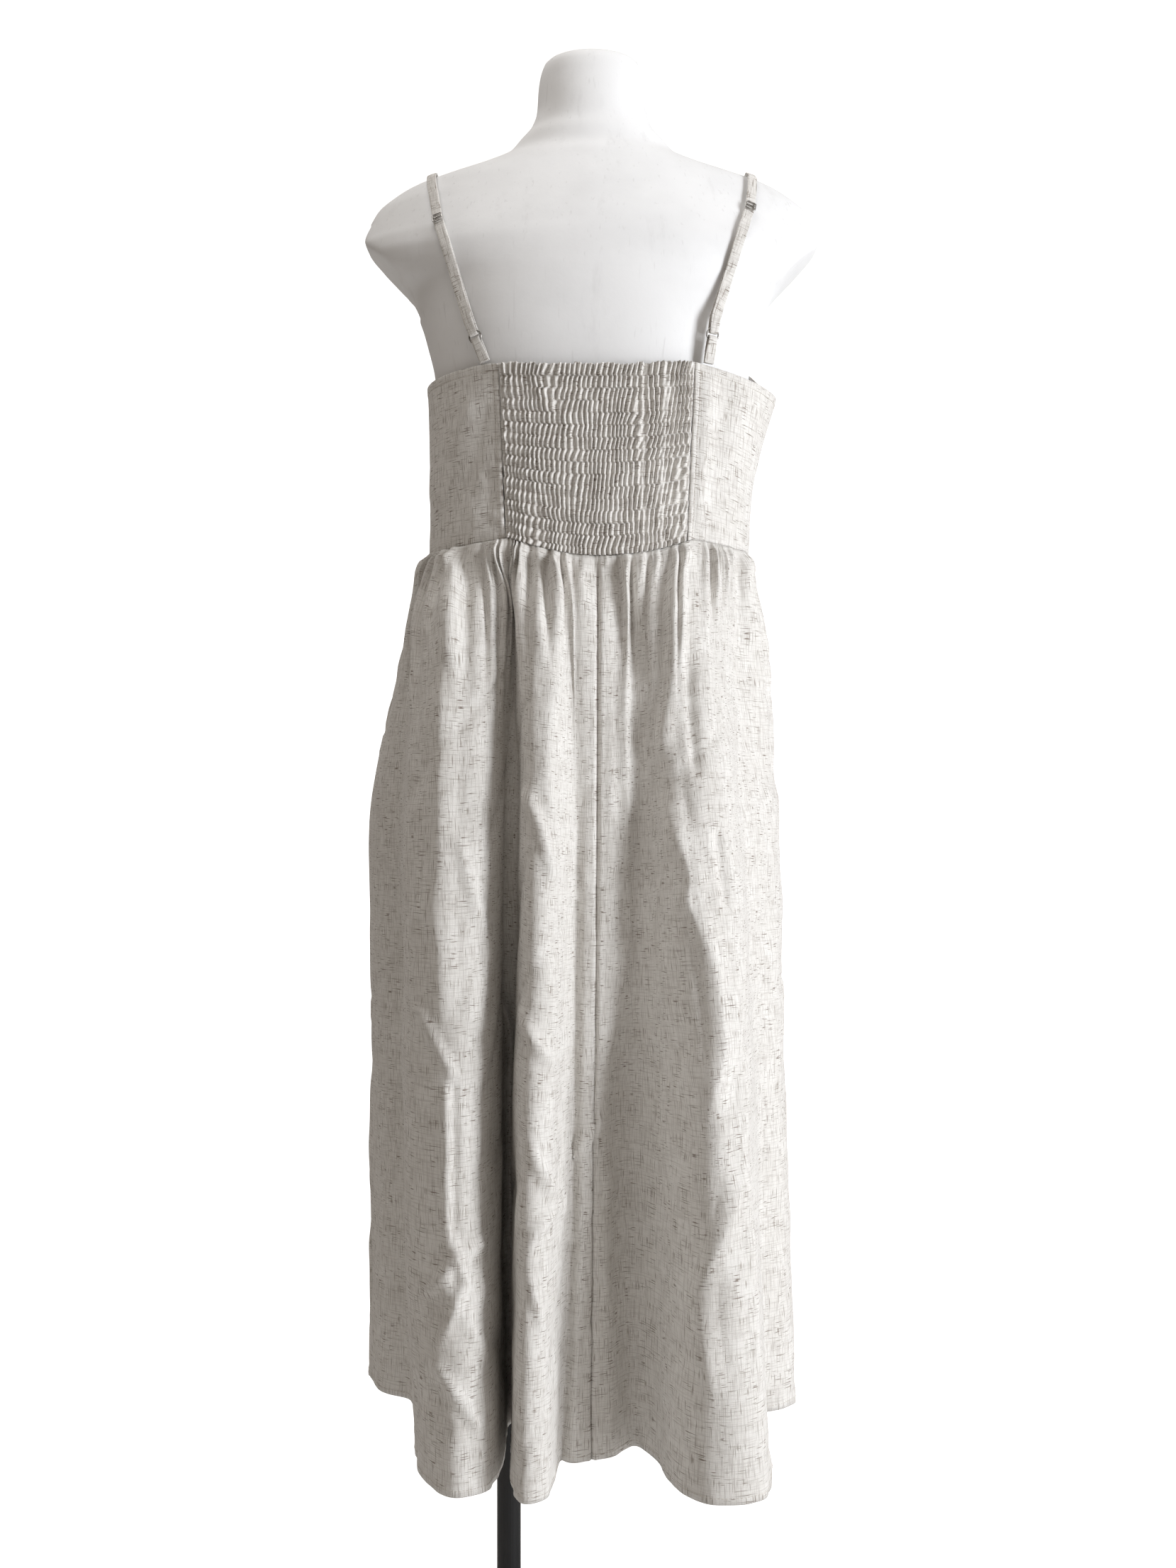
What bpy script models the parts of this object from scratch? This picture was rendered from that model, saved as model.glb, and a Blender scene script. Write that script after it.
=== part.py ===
import bisect
import math

import bpy
from mathutils import Vector
from mathutils.bvhtree import BVHTree

# A sleeveless dress on its limbless dress form and stand, in metres, +Z up.
# The photograph shows the dress from behind: +X is the right of the picture,
# -Y faces its camera, and the dress's back lies at -Y. The floor is z = 0.

for old in list(bpy.data.objects):
    bpy.data.objects.remove(old, do_unlink=True)

cloth_wall = 0.0016
gap = 0.0003
waist_seam_gap = 0.0010

neck_top = 1.513
form_bottom = 0.700
hem_height = 0.2665
side_seam_height = 1.048
shirring_corner_height = 1.054
shirring_centre_height = 1.0376
shirring_middle = 0.0080
shirring_half_span = 0.0797

pole_x = -0.077
pole_radius = 0.011
base_radius = 0.180
base_thickness = 0.009

strap_width = 0.0082
strap_thickness = 0.0012
ring_radius = 0.0056
ring_wire = 0.0008


def soft_step(low, high, value):
    share = min(max((value - low) / (high - low), 0.0), 1.0)
    return share * share * (3.0 - 2.0 * share)


def smooth_curve(knots, values):
    """A monotone cubic through the knots, flat at local extremes."""
    count = len(knots)
    steps = [knots[i + 1] - knots[i] for i in range(count - 1)]
    slopes = [(values[i + 1] - values[i]) / steps[i] for i in range(count - 1)]
    tangents = [slopes[0]]
    for i in range(1, count - 1):
        if slopes[i - 1] * slopes[i] <= 0.0:
            tangents.append(0.0)
        else:
            before = 2.0 * steps[i] + steps[i - 1]
            after = steps[i] + 2.0 * steps[i - 1]
            tangents.append((before + after) / (before / slopes[i - 1] + after / slopes[i]))
    tangents.append(slopes[-1])

    def at(position):
        i = min(max(bisect.bisect_right(knots, position) - 1, 0), count - 2)
        t = min(max((position - knots[i]) / steps[i], 0.0), 1.0)
        t2 = t * t
        t3 = t2 * t
        return ((2 * t3 - 3 * t2 + 1) * values[i] + (t3 - 2 * t2 + t) * steps[i] * tangents[i]
                + (3 * t2 - 2 * t3) * values[i + 1] + (t3 - t2) * steps[i] * tangents[i + 1])

    return at


def column_curves(rows, names):
    """One smooth curve of the first column for each further column."""
    heights = [row[0] for row in rows]
    return {name: smooth_curve(heights, [row[i + 1] for row in rows]) for i, name in enumerate(names)}


def make_material(name, color, roughness, metallic):
    material = bpy.data.materials.new(name)
    material.use_nodes = True
    shader = material.node_tree.nodes["Principled BSDF"]
    shader.inputs["Base Color"].default_value = (*color, 1.0)
    shader.inputs["Roughness"].default_value = roughness
    shader.inputs["Metallic"].default_value = metallic
    return material


def add_body(name, points, faces, look, smooth):
    mesh = bpy.data.meshes.new(name)
    mesh.from_pydata([tuple(point) for point in points], [], faces)
    mesh.validate()
    mesh.update()
    for polygon in mesh.polygons:
        polygon.use_smooth = smooth
    body = bpy.data.objects.new(name, mesh)
    bpy.context.scene.collection.objects.link(body)
    mesh.materials.append(make_material(name + "_look", *look))
    return body


linen_look = ((0.72, 0.68, 0.62), 0.92, 0.0)
form_look = ((0.80, 0.79, 0.77), 0.70, 0.0)
stand_look = ((0.012, 0.012, 0.013), 0.45, 0.0)
hardware_look = ((0.30, 0.28, 0.26), 0.32, 1.0)


def add_rings(name, rings, look, smooth):
    """A closed solid of stacked rings, each end closed by a fan to its centre."""
    count = len(rings[0])
    points = [point for ring in rings for point in ring]
    faces = []
    for row in range(len(rings) - 1):
        low = row * count
        high = low + count
        for i in range(count):
            j = (i + 1) % count
            faces.append((low + i, low + j, high + j))
            faces.append((low + i, high + j, high + i))
    for row, flip in ((0, True), (len(rings) - 1, False)):
        centre = len(points)
        points.append(sum((Vector(point) for point in rings[row]), Vector()) / count)
        first = row * count
        for i in range(count):
            j = (i + 1) % count
            faces.append((first + j, first + i, centre) if flip else (first + i, first + j, centre))
    return add_body(name, points, faces, look, smooth)


def stitch_rim(faces, first, second, first_at, second_at, flip):
    """Triangles between two edge rows of different count, walked side by side."""
    i = 0
    j = 0
    while i < len(first) - 1 or j < len(second) - 1:
        take_first = j == len(second) - 1 or (i < len(first) - 1 and first_at[i + 1] <= second_at[j + 1])
        if take_first:
            face = (first[i], first[i + 1], second[j])
            i += 1
        else:
            face = (first[i], second[j + 1], second[j])
            j += 1
        faces.append(face[::-1] if flip else face)


def add_shell(name, outer, inner, look):
    """A cloth wall from two grids of rows, top row first, closed round its four edges."""
    points = []
    faces = []
    index = []
    for grid in (outer, inner):
        width = len(grid[0])
        first = len(points)
        index.append([[first + r * width + c for c in range(width)] for r in range(len(grid))])
        points.extend(point for row in grid for point in row)
    for side, rows in enumerate(index):
        for r in range(len(rows) - 1):
            for c in range(len(rows[0]) - 1):
                upper_left, upper_right = rows[r][c], rows[r][c + 1]
                lower_left, lower_right = rows[r + 1][c], rows[r + 1][c + 1]
                pair = [(lower_left, lower_right, upper_right), (lower_left, upper_right, upper_left)]
                faces.extend(face[::-1] if side else face for face in pair)
    front, back = index

    def spread(items):
        return [i / (len(items) - 1) for i in range(len(items))]

    edges = (
        (front[0], back[0], False),
        (front[-1], back[-1], True),
        ([row[0] for row in front], [row[0] for row in back], True),
        ([row[-1] for row in front], [row[-1] for row in back], False),
    )
    for first, second, flip in edges:
        stitch_rim(faces, first, second, spread(first), spread(second), flip)
    return add_body(name, points, faces, look, True)


# Dress form: level sections from the lower edge up to the neck.
# z, half width, front, back, power of the section's outline
form_sections = (
    (0.700, 0.150, 0.080, 0.096, 2.2),
    (0.704, 0.156, 0.085, 0.101, 2.2),
    (0.740, 0.162, 0.090, 0.108, 2.2),
    (0.800, 0.165, 0.095, 0.113, 2.2),
    (0.880, 0.154, 0.098, 0.104, 2.2),
    (0.990, 0.122, 0.096, 0.083, 2.2),
    (1.050, 0.128, 0.106, 0.085, 2.2),
    (1.140, 0.140, 0.131, 0.093, 2.3),
    (1.212, 0.1445, 0.120, 0.098, 2.4),
    (1.243, 0.1515, 0.112, 0.101, 2.4),
    (1.266, 0.1586, 0.106, 0.102, 2.3),
    (1.288, 0.170, 0.101, 0.101, 2.1),
    (1.300, 0.192, 0.097, 0.099, 1.95),
    (1.311, 0.210, 0.093, 0.097, 1.85),
    (1.323, 0.219, 0.088, 0.094, 1.8),
    (1.334, 0.218, 0.083, 0.090, 1.75),
    (1.342, 0.214, 0.079, 0.087, 1.7),
    (1.357, 0.2056, 0.071, 0.080, 1.65),
    (1.370, 0.198, 0.064, 0.074, 1.6),
    (1.381, 0.185, 0.059, 0.069, 1.6),
    (1.391, 0.168, 0.054, 0.064, 1.65),
    (1.401, 0.1376, 0.050, 0.059, 1.75),
    (1.408, 0.111, 0.048, 0.056, 1.85),
    (1.420, 0.0800, 0.048, 0.049, 2.0),
    (1.434, 0.0667, 0.050, 0.046, 2.0),
    (1.446, 0.0564, 0.052, 0.042, 2.0),
    (1.461, 0.0510, 0.055, 0.040, 2.0),
    (1.485, 0.0492, 0.058, 0.036, 2.0),
    (1.505, 0.0440, 0.056, 0.031, 2.0),
    (1.511, 0.0360, 0.048, 0.024, 2.0),
    (neck_top, 0.0260, 0.037, 0.016, 2.0),
)
form_at = column_curves(form_sections, ("half", "front", "back", "power"))

# The flat face of each arm stump: the widest the form may be at a height.
# z, half width
stump_cut = smooth_curve(
    (1.266, 1.288, 1.300, 1.311, 1.3236, 1.334, 1.342, 1.350, 1.357),
    (0.1586, 0.1676, 0.1745, 0.1846, 0.1977, 0.2078, 0.2103, 0.2088, 0.2056))


def form_point(angle, height):
    half = form_at["half"](height)
    power = form_at["power"](height)
    across = math.copysign(abs(math.cos(angle)) ** (2.0 / power), math.cos(angle)) * half
    depth = form_at["back"](height) if math.sin(angle) < 0.0 else form_at["front"](height)
    along = math.copysign(abs(math.sin(angle)) ** (2.0 / power), math.sin(angle)) * depth
    if 1.266 < height < 1.357:
        limit = stump_cut(height)
        across = min(max(across, -limit), limit)
    return Vector((across, along, height))


form_columns = 36
form_rows = [row[0] for row in form_sections]
form_angles = [2.0 * math.pi * i / form_columns for i in range(form_columns)]
form_rings = [[form_point(angle, z) for angle in form_angles] for z in form_rows]
form_body = add_rings("dress_form", form_rings, form_look, True)
form_tree = BVHTree.FromPolygons(
    [vertex.co.copy() for vertex in form_body.data.vertices],
    [tuple(polygon.vertices) for polygon in form_body.data.polygons])


# Stand: a round steel plate, and a pole with a foot collar and a flange under the form.
def add_lathe(name, profile, centre_x, segments, look):
    rings = []
    for radius, height in profile:
        ring = []
        for i in range(segments):
            turn = 2.0 * math.pi * i / segments
            ring.append(Vector((centre_x + radius * math.cos(turn), radius * math.sin(turn), height)))
        rings.append(ring)
    return add_rings(name, rings, look, True)


base_profile = (
    (base_radius - 0.0015, 0.0),
    (base_radius, 0.0015),
    (base_radius, base_thickness - 0.002),
    (base_radius - 0.002, base_thickness),
)
add_lathe("stand_base", base_profile, 0.0, 56, stand_look)

pole_foot = base_thickness + gap
pole_head = form_bottom - gap
pole_profile = (
    (0.026, pole_foot),
    (0.026, pole_foot + 0.010),
    (0.0145, pole_foot + 0.016),
    (0.0145, pole_foot + 0.034),
    (pole_radius, pole_foot + 0.036),
    (pole_radius, pole_head - 0.020),
    (0.015, pole_head - 0.016),
    (0.030, pole_head - 0.005),
    (0.030, pole_head),
)
add_lathe("stand_pole", pole_profile, pole_x, 28, stand_look)


# Bodice: the ring of the cloth's outer face at a height, its left and right half widths apart.
# z, left, right, back, front
bodice_sections = (
    (1.030, 0.1503, 0.1450, 0.0955, 0.117),
    (1.054, 0.1500, 0.1450, 0.0955, 0.121),
    (1.100, 0.1490, 0.1470, 0.0975, 0.137),
    (1.150, 0.1500, 0.1570, 0.1005, 0.1415),
    (1.200, 0.1515, 0.1700, 0.1035, 0.130),
    (1.248, 0.1590, 0.1640, 0.1065, 0.120),
    (1.285, 0.1700, 0.1690, 0.108, 0.1115),
)
bodice_at = column_curves(bodice_sections, ("left", "right", "back", "front"))
bodice_power = 2.3
ring_samples = 96
ring_store = {}


def bodice_ring(height, front):
    """Arc lengths and points of a half ring: the back from left to right, the front from right to left."""
    key = (round(height, 6), front)
    if key in ring_store:
        return ring_store[key]
    depth = bodice_at["front"](height) if front else bodice_at["back"](height)
    start = 0.0 if front else math.pi
    points = []
    for i in range(ring_samples + 1):
        angle = start + math.pi * i / ring_samples
        cosine = math.cos(angle)
        half = bodice_at["left"](height) if cosine < 0.0 else bodice_at["right"](height)
        x = math.copysign(abs(cosine) ** (2.0 / bodice_power), cosine) * half
        y = (1.0 if front else -1.0) * abs(math.sin(angle)) ** (2.0 / bodice_power) * depth
        points.append((x, y))
    lengths = [0.0]
    for a, b in zip(points, points[1:]):
        lengths.append(lengths[-1] + math.hypot(b[0] - a[0], b[1] - a[1]))
    ring_store[key] = (lengths, points)
    return ring_store[key]


def bodice_point(share, height, front):
    lengths, points = bodice_ring(height, front)
    target = share * lengths[-1]
    i = min(max(bisect.bisect_right(lengths, target) - 1, 0), len(points) - 2)
    t = (target - lengths[i]) / (lengths[i + 1] - lengths[i])
    x = points[i][0] + (points[i + 1][0] - points[i][0]) * t
    y = points[i][1] + (points[i + 1][1] - points[i][1]) * t
    return Vector((x, y, height))


def bodice_normal(share, height, front):
    low = bodice_point(max(share - 0.01, 0.0), height, front)
    high = bodice_point(min(share + 0.01, 1.0), height, front)
    below = bodice_point(share, height - 0.004, front)
    above = bodice_point(share, height + 0.004, front)
    return (high - low).cross(above - below).normalized()


def back_share(x, height):
    """The share of the back half ring at which the cloth stands at this x."""
    low = 0.0
    high = 1.0
    for _ in range(40):
        middle = 0.5 * (low + high)
        if bodice_point(middle, height, False).x < x:
            low = middle
        else:
            high = middle
    return 0.5 * (low + high)


def seam_height(x, front):
    """The waist seam: lowest under the middle of the shirring, highest at its two corners."""
    reach = abs(x - shirring_middle) / shirring_half_span
    if front:
        return side_seam_height
    if reach < 1.0:
        return shirring_centre_height + (shirring_corner_height - shirring_centre_height) * reach * reach
    fall = min((reach - 1.0) / 0.75, 1.0)
    return shirring_corner_height + (side_seam_height - shirring_corner_height) * fall


def back_top(x):
    reach = abs(x) / 0.090
    if reach < 1.0:
        return 1.2012 + 0.0043 * reach * reach
    return 1.2055 - 0.0045 * min((abs(x) - 0.090) / 0.07, 1.0)


def front_top(share):
    """Armhole edge up to the strap point, then the neckline between the two strap points."""
    side = min(share, 1.0 - share)
    if side < 0.30:
        return 1.201 + 0.071 * math.sin(0.5 * math.pi * side / 0.30) ** 1.1
    return 1.272 - 0.026 * math.sin(0.5 * math.pi * min((side - 0.30) / 0.16, 1.0)) ** 1.5


def cloth_grid(columns, rows, locate, relief):
    """Outer and inner grids of a bodice panel, top row first."""
    outer = []
    inner = []
    for r in range(rows + 1):
        down = r / rows
        outer_row = []
        inner_row = []
        for c in range(columns + 1):
            across = c / columns
            share, height, front = locate(across, down)
            point = bodice_point(share, height, front)
            normal = bodice_normal(share, height, front)
            outer_row.append(point + normal * relief(across, down))
            inner_row.append(point - normal * cloth_wall)
        outer.append(outer_row)
        inner.append(inner_row)
    return outer, inner


def plain(across, down):
    return 0.0


def shirring_edge(side, height):
    """The x of the shirred panel's left and right edges."""
    fall = (1.205 - height) / 0.155
    return (-0.0760 + 0.0043 * fall) if side < 0 else (0.0908 - 0.0031 * fall)


def back_panel(first, last):
    """Rows of a back panel between two edges, each an x or a side seam."""
    def locate(across, down):
        height = 1.2
        for _ in range(4):
            left = 0.0006 if first is None else back_share(shirring_edge(first[0], height) + first[1], height)
            right = 0.9994 if last is None else back_share(shirring_edge(last[0], height) + last[1], height)
            share = left + (right - left) * across
            x = bodice_point(share, height, False).x
            top = back_top(x)
            bottom = seam_height(x, False) + 0.5 * waist_seam_gap
            height = top + (bottom - top) * down
        return share, height, False
    return locate


def front_panel(across, down):
    share = 0.0006 + 0.9988 * across
    top = front_top(share)
    bottom = side_seam_height + 0.5 * waist_seam_gap
    return share, top + (bottom - top) * down, True


front_outer, front_inner = cloth_grid(28, 9, front_panel, plain)
add_shell("bodice_front", front_outer, front_inner, linen_look)
left_outer, left_inner = cloth_grid(12, 8, back_panel(None, (-1, -0.00025)), plain)
add_shell("bodice_back_left", left_outer, left_inner, linen_look)
right_outer, right_inner = cloth_grid(12, 8, back_panel((1, 0.00025), None), plain)
add_shell("bodice_back_right", right_outer, right_inner, linen_look)

# Shirred centre back panel: upright ridges between sewn elastic rows, the inside plain.
shirring_ridges = 34
elastic_rows = 11
ridge_height = 0.0022


def shirring_relief(across, down):
    ridge = 0.5 - 0.5 * math.cos(2.0 * math.pi * shirring_ridges * across)
    puff = 0.5 - 0.5 * math.cos(2.0 * math.pi * elastic_rows * down)
    return ridge_height * ridge * (0.45 + 0.55 * puff)


centre_panel = back_panel((-1, 0.00025), (1, -0.00025))
centre_outer, _ = cloth_grid(2 * shirring_ridges, 2 * elastic_rows, centre_panel, shirring_relief)
_, centre_inner = cloth_grid(12, 6, centre_panel, plain)
add_shell("bodice_back_shirred", centre_outer, centre_inner, linen_look)

# Skirt. The cloth is counted in gathers: 33 across the back from the left side seam, 24 across the front.
back_gathers = 33
front_gathers = 24
centre_back_gather = 20.5
skirt_levels = (hem_height, 0.52, 0.80, 0.97)

# One row for each line of cloth down the back. gather, then its x in mm at the
# waist seam, at z 0.97, 0.80, 0.52 and the hem, and last its y in mm at the hem.
back_lines = (
    (0.0, -150, -172, -211, -214, -219, 69),
    (1.5, -146, -165, -195, -196, -198, 22),
    (2.5, -142, -158, -173, -172, -171, 6),
    (6.5, -134, -150, -158, -157, -144, -144),
    (8.0, -120, -130, -130, -126, -114, -190),
    (8.5, -112, -114, -112, -106, -94, -184),
    (9.0, -100, -98, -93, -90, -81, -173),
    (10.0, -90, -86, -82, -82, -76, -139),
    (11.0, -82, -78, -77, -79, -75, -106),
    (12.0, -77, -73, -74, -78, -76, -59),
    (12.5, -72, -67, -68, -73, -72, -46),
    (16.0, -60, -57, -57, -63, -66, -171),
    (16.5, -53, -51, -51, -57, -60, -196),
    (17.0, -46, -44, -43, -48, -51, -200),
    (17.5, -37, -35, -33, -36, -37, -190),
    (18.5, -27, -25, -23, -26, -31, -150),
    (19.5, -17, -16, -13, -16, -26, -118),
    (20.0, -7, -7, -5, -8, -17, -127),
    (20.5, 5, 5, 4, 1, -1, -118),
    (21.0, 13, 14, 14, 12, 17, -115),
    (21.5, 21, 23, 24, 19, 28, -98),
    (22.0, 28, 30, 31, 28, 35, -92),
    (22.5, 35, 37, 37, 40, 43, -96),
    (23.0, 43, 44, 46, 56, 55, -122),
    (24.0, 55, 53, 56, 68, 61, -152),
    (24.5, 62, 60, 63, 78, 70, -178),
    (25.0, 70, 67, 73, 92, 90, -198),
    (26.0, 80, 77, 87, 106, 116, -201),
    (26.5, 90, 90, 103, 122, 139, -191),
    (27.5, 101, 103, 118, 133, 147, -166),
    (31.0, 121, 125, 140, 153, 154, -24),
    (31.5, 128, 135, 151, 163, 170, -18),
    (32.0, 136, 147, 163, 176, 188, -4),
    (33.0, 145.0, 160, 175, 183, 193, 26),
)

# The front, from the right side seam to the left one: gather, place round the
# ring in degrees from +X, and the share of the full reach it has at the hem.
front_lines = (
    (33.0, 8, 1.00),
    (34.5, 20, 0.86),
    (35.5, 27, 1.02),
    (37.0, 35, 0.66),
    (39.0, 45, 1.03),
    (40.5, 52, 0.68),
    (42.0, 63, 1.00),
    (43.5, 73, 0.70),
    (45.5, 85, 1.02),
    (47.0, 96, 0.66),
    (48.5, 107, 1.00),
    (50.0, 118, 0.72),
    (52.0, 129, 1.03),
    (53.5, 139, 0.68),
    (55.0, 149, 1.00),
    (57.0, 162, 1.00),
)

# z, left half width, right half width, depth at the back, depth at the front, fold growth
skirt_sections = (
    (hem_height, 0.219, 0.198, 0.165, 0.178, 1.00),
    (0.52, 0.214, 0.183, 0.160, 0.165, 0.86),
    (0.80, 0.211, 0.175, 0.145, 0.140, 0.50),
    (0.97, 0.172, 0.160, 0.112, 0.122, 0.22),
    (1.045, 0.1503, 0.1450, 0.0955, 0.1195, 0.0),
)
skirt_at = column_curves(skirt_sections, ("left", "right", "back", "front", "growth"))

back_knots = [row[0] for row in back_lines]
waist_x = smooth_curve(back_knots, [row[1] / 1000.0 for row in back_lines])
level_x = [smooth_curve(back_knots, [row[column] / 1000.0 for row in back_lines]) for column in (5, 4, 3, 2)]
hem_y = smooth_curve(back_knots, [row[6] / 1000.0 for row in back_lines])
front_knots = [row[0] for row in front_lines]
front_angle = smooth_curve(front_knots, [math.radians(row[1]) for row in front_lines])
front_reach = smooth_curve(front_knots, [row[2] for row in front_lines])


def clear_of_form(x, y, height):
    """Moves a point out to where the cloth lies on the form's hips."""
    hold = soft_step(form_bottom - 0.085, form_bottom - 0.012, height)
    if hold == 0.0:
        return x, y
    level = max(height, form_bottom + 0.004)
    power = form_at["power"](level)
    wide = form_at["half"](level) + 0.006
    deep = (form_at["back"](level) if y < 0.0 else form_at["front"](level)) + 0.006
    reach = ((abs(x) / wide) ** power + (abs(y) / deep) ** power) ** (1.0 / power)
    if reach >= 1.0:
        return x, y
    push = 1.0 + (1.0 / max(reach, 0.2) - 1.0) * hold
    return x * push, y * push


waist_store = {}


def waist_point(gather):
    """Where a line of cloth leaves the waist seam."""
    key = round(gather, 5)
    if key in waist_store:
        return waist_store[key]
    if gather <= back_gathers:
        x = waist_x(gather)
        height = seam_height(x, False)
        share = back_share(x, height)
        point = bodice_point(share, height, False)
    else:
        share = (gather - back_gathers) / front_gathers
        point = bodice_point(share, side_seam_height, True)
    waist_store[key] = point
    return point


def front_hang(gather, top, height):
    growth = skirt_at["growth"](height)
    angle = front_angle(gather)
    reach = 1.0 + (front_reach(gather) - 1.0) * growth
    half = skirt_at["left"](height) if math.cos(angle) < 0.0 else skirt_at["right"](height)
    hung_x = math.cos(angle) * half * reach
    hung_y = math.sin(angle) * skirt_at["front"](height) * reach
    settle = soft_step(0.80, top.z, height)
    return hung_x + (top.x - hung_x) * settle, hung_y + (top.y - hung_y) * settle


def skirt_point(gather, height):
    """A point of the skirt's cloth by its line and its height below the waist seam."""
    top = waist_point(gather)
    growth = skirt_at["growth"](height)
    left = skirt_at["left"](height)
    right = skirt_at["right"](height)
    if gather <= back_gathers:
        across = [level(gather) for level in level_x] + [top.x]
        x = smooth_curve(skirt_levels + (top.z,), across)(height)
        half = left if x < 0.0 else right
        edge = min(abs(x) / half, 1.0)
        ring_y = -skirt_at["back"](height) * (1.0 - edge ** bodice_power) ** (1.0 / bodice_power)
        y = ring_y + (hem_y(gather) - ring_y) * growth
        settle = soft_step(0.985, top.z, height)
        y = y + (top.y - y) * settle
    else:
        x, y = front_hang(gather, top, height)
        for seam_gather, front_end in ((back_gathers, back_gathers), (0.0, back_gathers + front_gathers)):
            near = 1.0 - soft_step(0.0, 2.5, abs(gather - front_end))
            if near > 0.0:
                seam = skirt_point(float(seam_gather), height)
                end_x, end_y = front_hang(float(front_end), waist_point(float(seam_gather)), height)
                x += (seam.x - end_x) * near
                y += (seam.y - end_y) * near
    x, y = clear_of_form(x, y, height)
    return Vector((x, y, height))


def skirt_normal(gather, height):
    """The way out of the cloth, read on both sides of a seam."""
    whole = back_gathers + front_gathers
    before = skirt_point((gather - 0.12) % whole, height)
    after = skirt_point((gather + 0.12) % whole, height)
    step = 0.006
    above = skirt_point(gather, min(height + step, waist_point(gather).z - 0.0002))
    below = skirt_point(gather, max(height - step, hem_height))
    return (after - before).cross(above - below).normalized()


# The share of the way from the waist seam to the hem at which each row of the skirt stands.
skirt_rows = (0.0, 0.015, 0.06, 0.12, 0.20, 0.30, 0.42, 0.56, 0.70, 0.85, 1.0)
gather_height = 0.0030
panel_edge = 0.0003


def skirt_panel(name, first, last):
    columns = int(round((last - first) * 2.0))
    outer = []
    inner = []
    for down in skirt_rows:
        outer_row = []
        inner_row = []
        for c in range(columns + 1):
            gather = first + 0.5 * c
            top = waist_point(gather).z - 0.5 * waist_seam_gap
            height = top + (hem_height - top) * down
            if c in (0, columns):
                inward = 0.1 if c == 0 else -0.1
                stretch = (skirt_point(gather + inward, height) - skirt_point(gather, height)).length / 0.1
                gather += math.copysign(panel_edge / stretch, inward)
            point = skirt_point(gather, height)
            normal = skirt_normal(gather, height)
            if down == 0.0 or down == 1.0:
                normal = Vector((normal.x, normal.y, 0.0)).normalized()
            fade = (1.0 - soft_step(0.03, 0.22, down)) * (0.45 + 0.55 * soft_step(0.0, 0.03, down))
            ridge = 0.5 + 0.5 * math.cos(2.0 * math.pi * gather)
            outer_row.append(point + normal * gather_height * ridge * fade)
            inner_row.append(point - normal * cloth_wall)
        outer.append(outer_row)
        inner.append(inner_row)
    add_shell(name, outer, inner, linen_look)


skirt_panel("skirt_back_left", 0.0, centre_back_gather)
skirt_panel("skirt_back_right", centre_back_gather, float(back_gathers))
skirt_panel("skirt_front", float(back_gathers), float(back_gathers + front_gathers))


# Straps: a band swept along a path, its flat face turned to the body.
def add_band(name, path, outward, width, thickness, look):
    points = []
    faces = []
    count = len(path)
    for i in range(count):
        ahead = path[min(i + 1, count - 1)] - path[max(i - 1, 0)]
        ahead.normalize()
        face = outward[i] - ahead * outward[i].dot(ahead)
        face.normalize()
        side = ahead.cross(face).normalized()
        for across, up in ((-1, -1), (1, -1), (1, 1), (-1, 1)):
            points.append(path[i] + side * across * width * 0.5 + face * up * thickness * 0.5)
    for i in range(count - 1):
        low = 4 * i
        high = low + 4
        for c in range(4):
            d = (c + 1) % 4
            faces.append((low + c, high + d, low + d))
            faces.append((low + c, high + c, high + d))
    last = 4 * (count - 1)
    faces.extend([(0, 1, 2), (0, 2, 3), (last, last + 2, last + 1), (last, last + 3, last + 2)])
    return add_body(name, points, faces, look, False)


def curve_through(stops, count):
    """Points at even shares along a smooth curve through the stops."""
    lengths = [0.0]
    for a, b in zip(stops, stops[1:]):
        lengths.append(lengths[-1] + (b - a).length)
    axes = [smooth_curve(lengths, [stop[axis] for stop in stops]) for axis in range(3)]
    return [Vector([axis(lengths[-1] * i / (count - 1)) for axis in axes]) for i in range(count)]


def lift_from_form(point, offset):
    """The point over the form's surface nearest to it, and the direction away from the form."""
    place, normal, _, _ = form_tree.find_nearest(point)
    return place + normal * offset, normal


# side, then x, y, z in mm of: the ring, the slider and the top of the shoulder
strap_lines = (
    ("left", (-99.0, -112, 1226.5), (-135.4, -62, 1344.0), (-144.0, -8, 1397.0)),
    ("right", (104.0, -114, 1226.5), (141.4, -52, 1356.5), (142.4, -8, 1395.0)),
)
strap_front = (0.0935, 0.1030, 1.2735)


def seated(seed):
    """The seed moved along Y to the back of the form."""
    struck, _, _, _ = form_tree.ray_cast(Vector((seed.x, -1.0, seed.z)), Vector((0.0, 1.0, 0.0)))
    return struck


def taut_point(start, knee, end, share, least):
    """On the straight lines through three points, or over the form where it stands in the way."""
    knee_share = (knee - start).length / ((knee - start).length + (end - knee).length)
    if share >= knee_share:
        return knee.lerp(end, (share - knee_share) / (1.0 - knee_share))
    point = start.lerp(knee, share / knee_share)
    struck, normal, _, _ = form_tree.ray_cast(Vector((point.x, -1.0, point.z)), Vector((0.0, 1.0, 0.0)))
    if struck is not None:
        point.y = min(point.y, struck.y + least / min(normal.y, -0.35))
    return point


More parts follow.
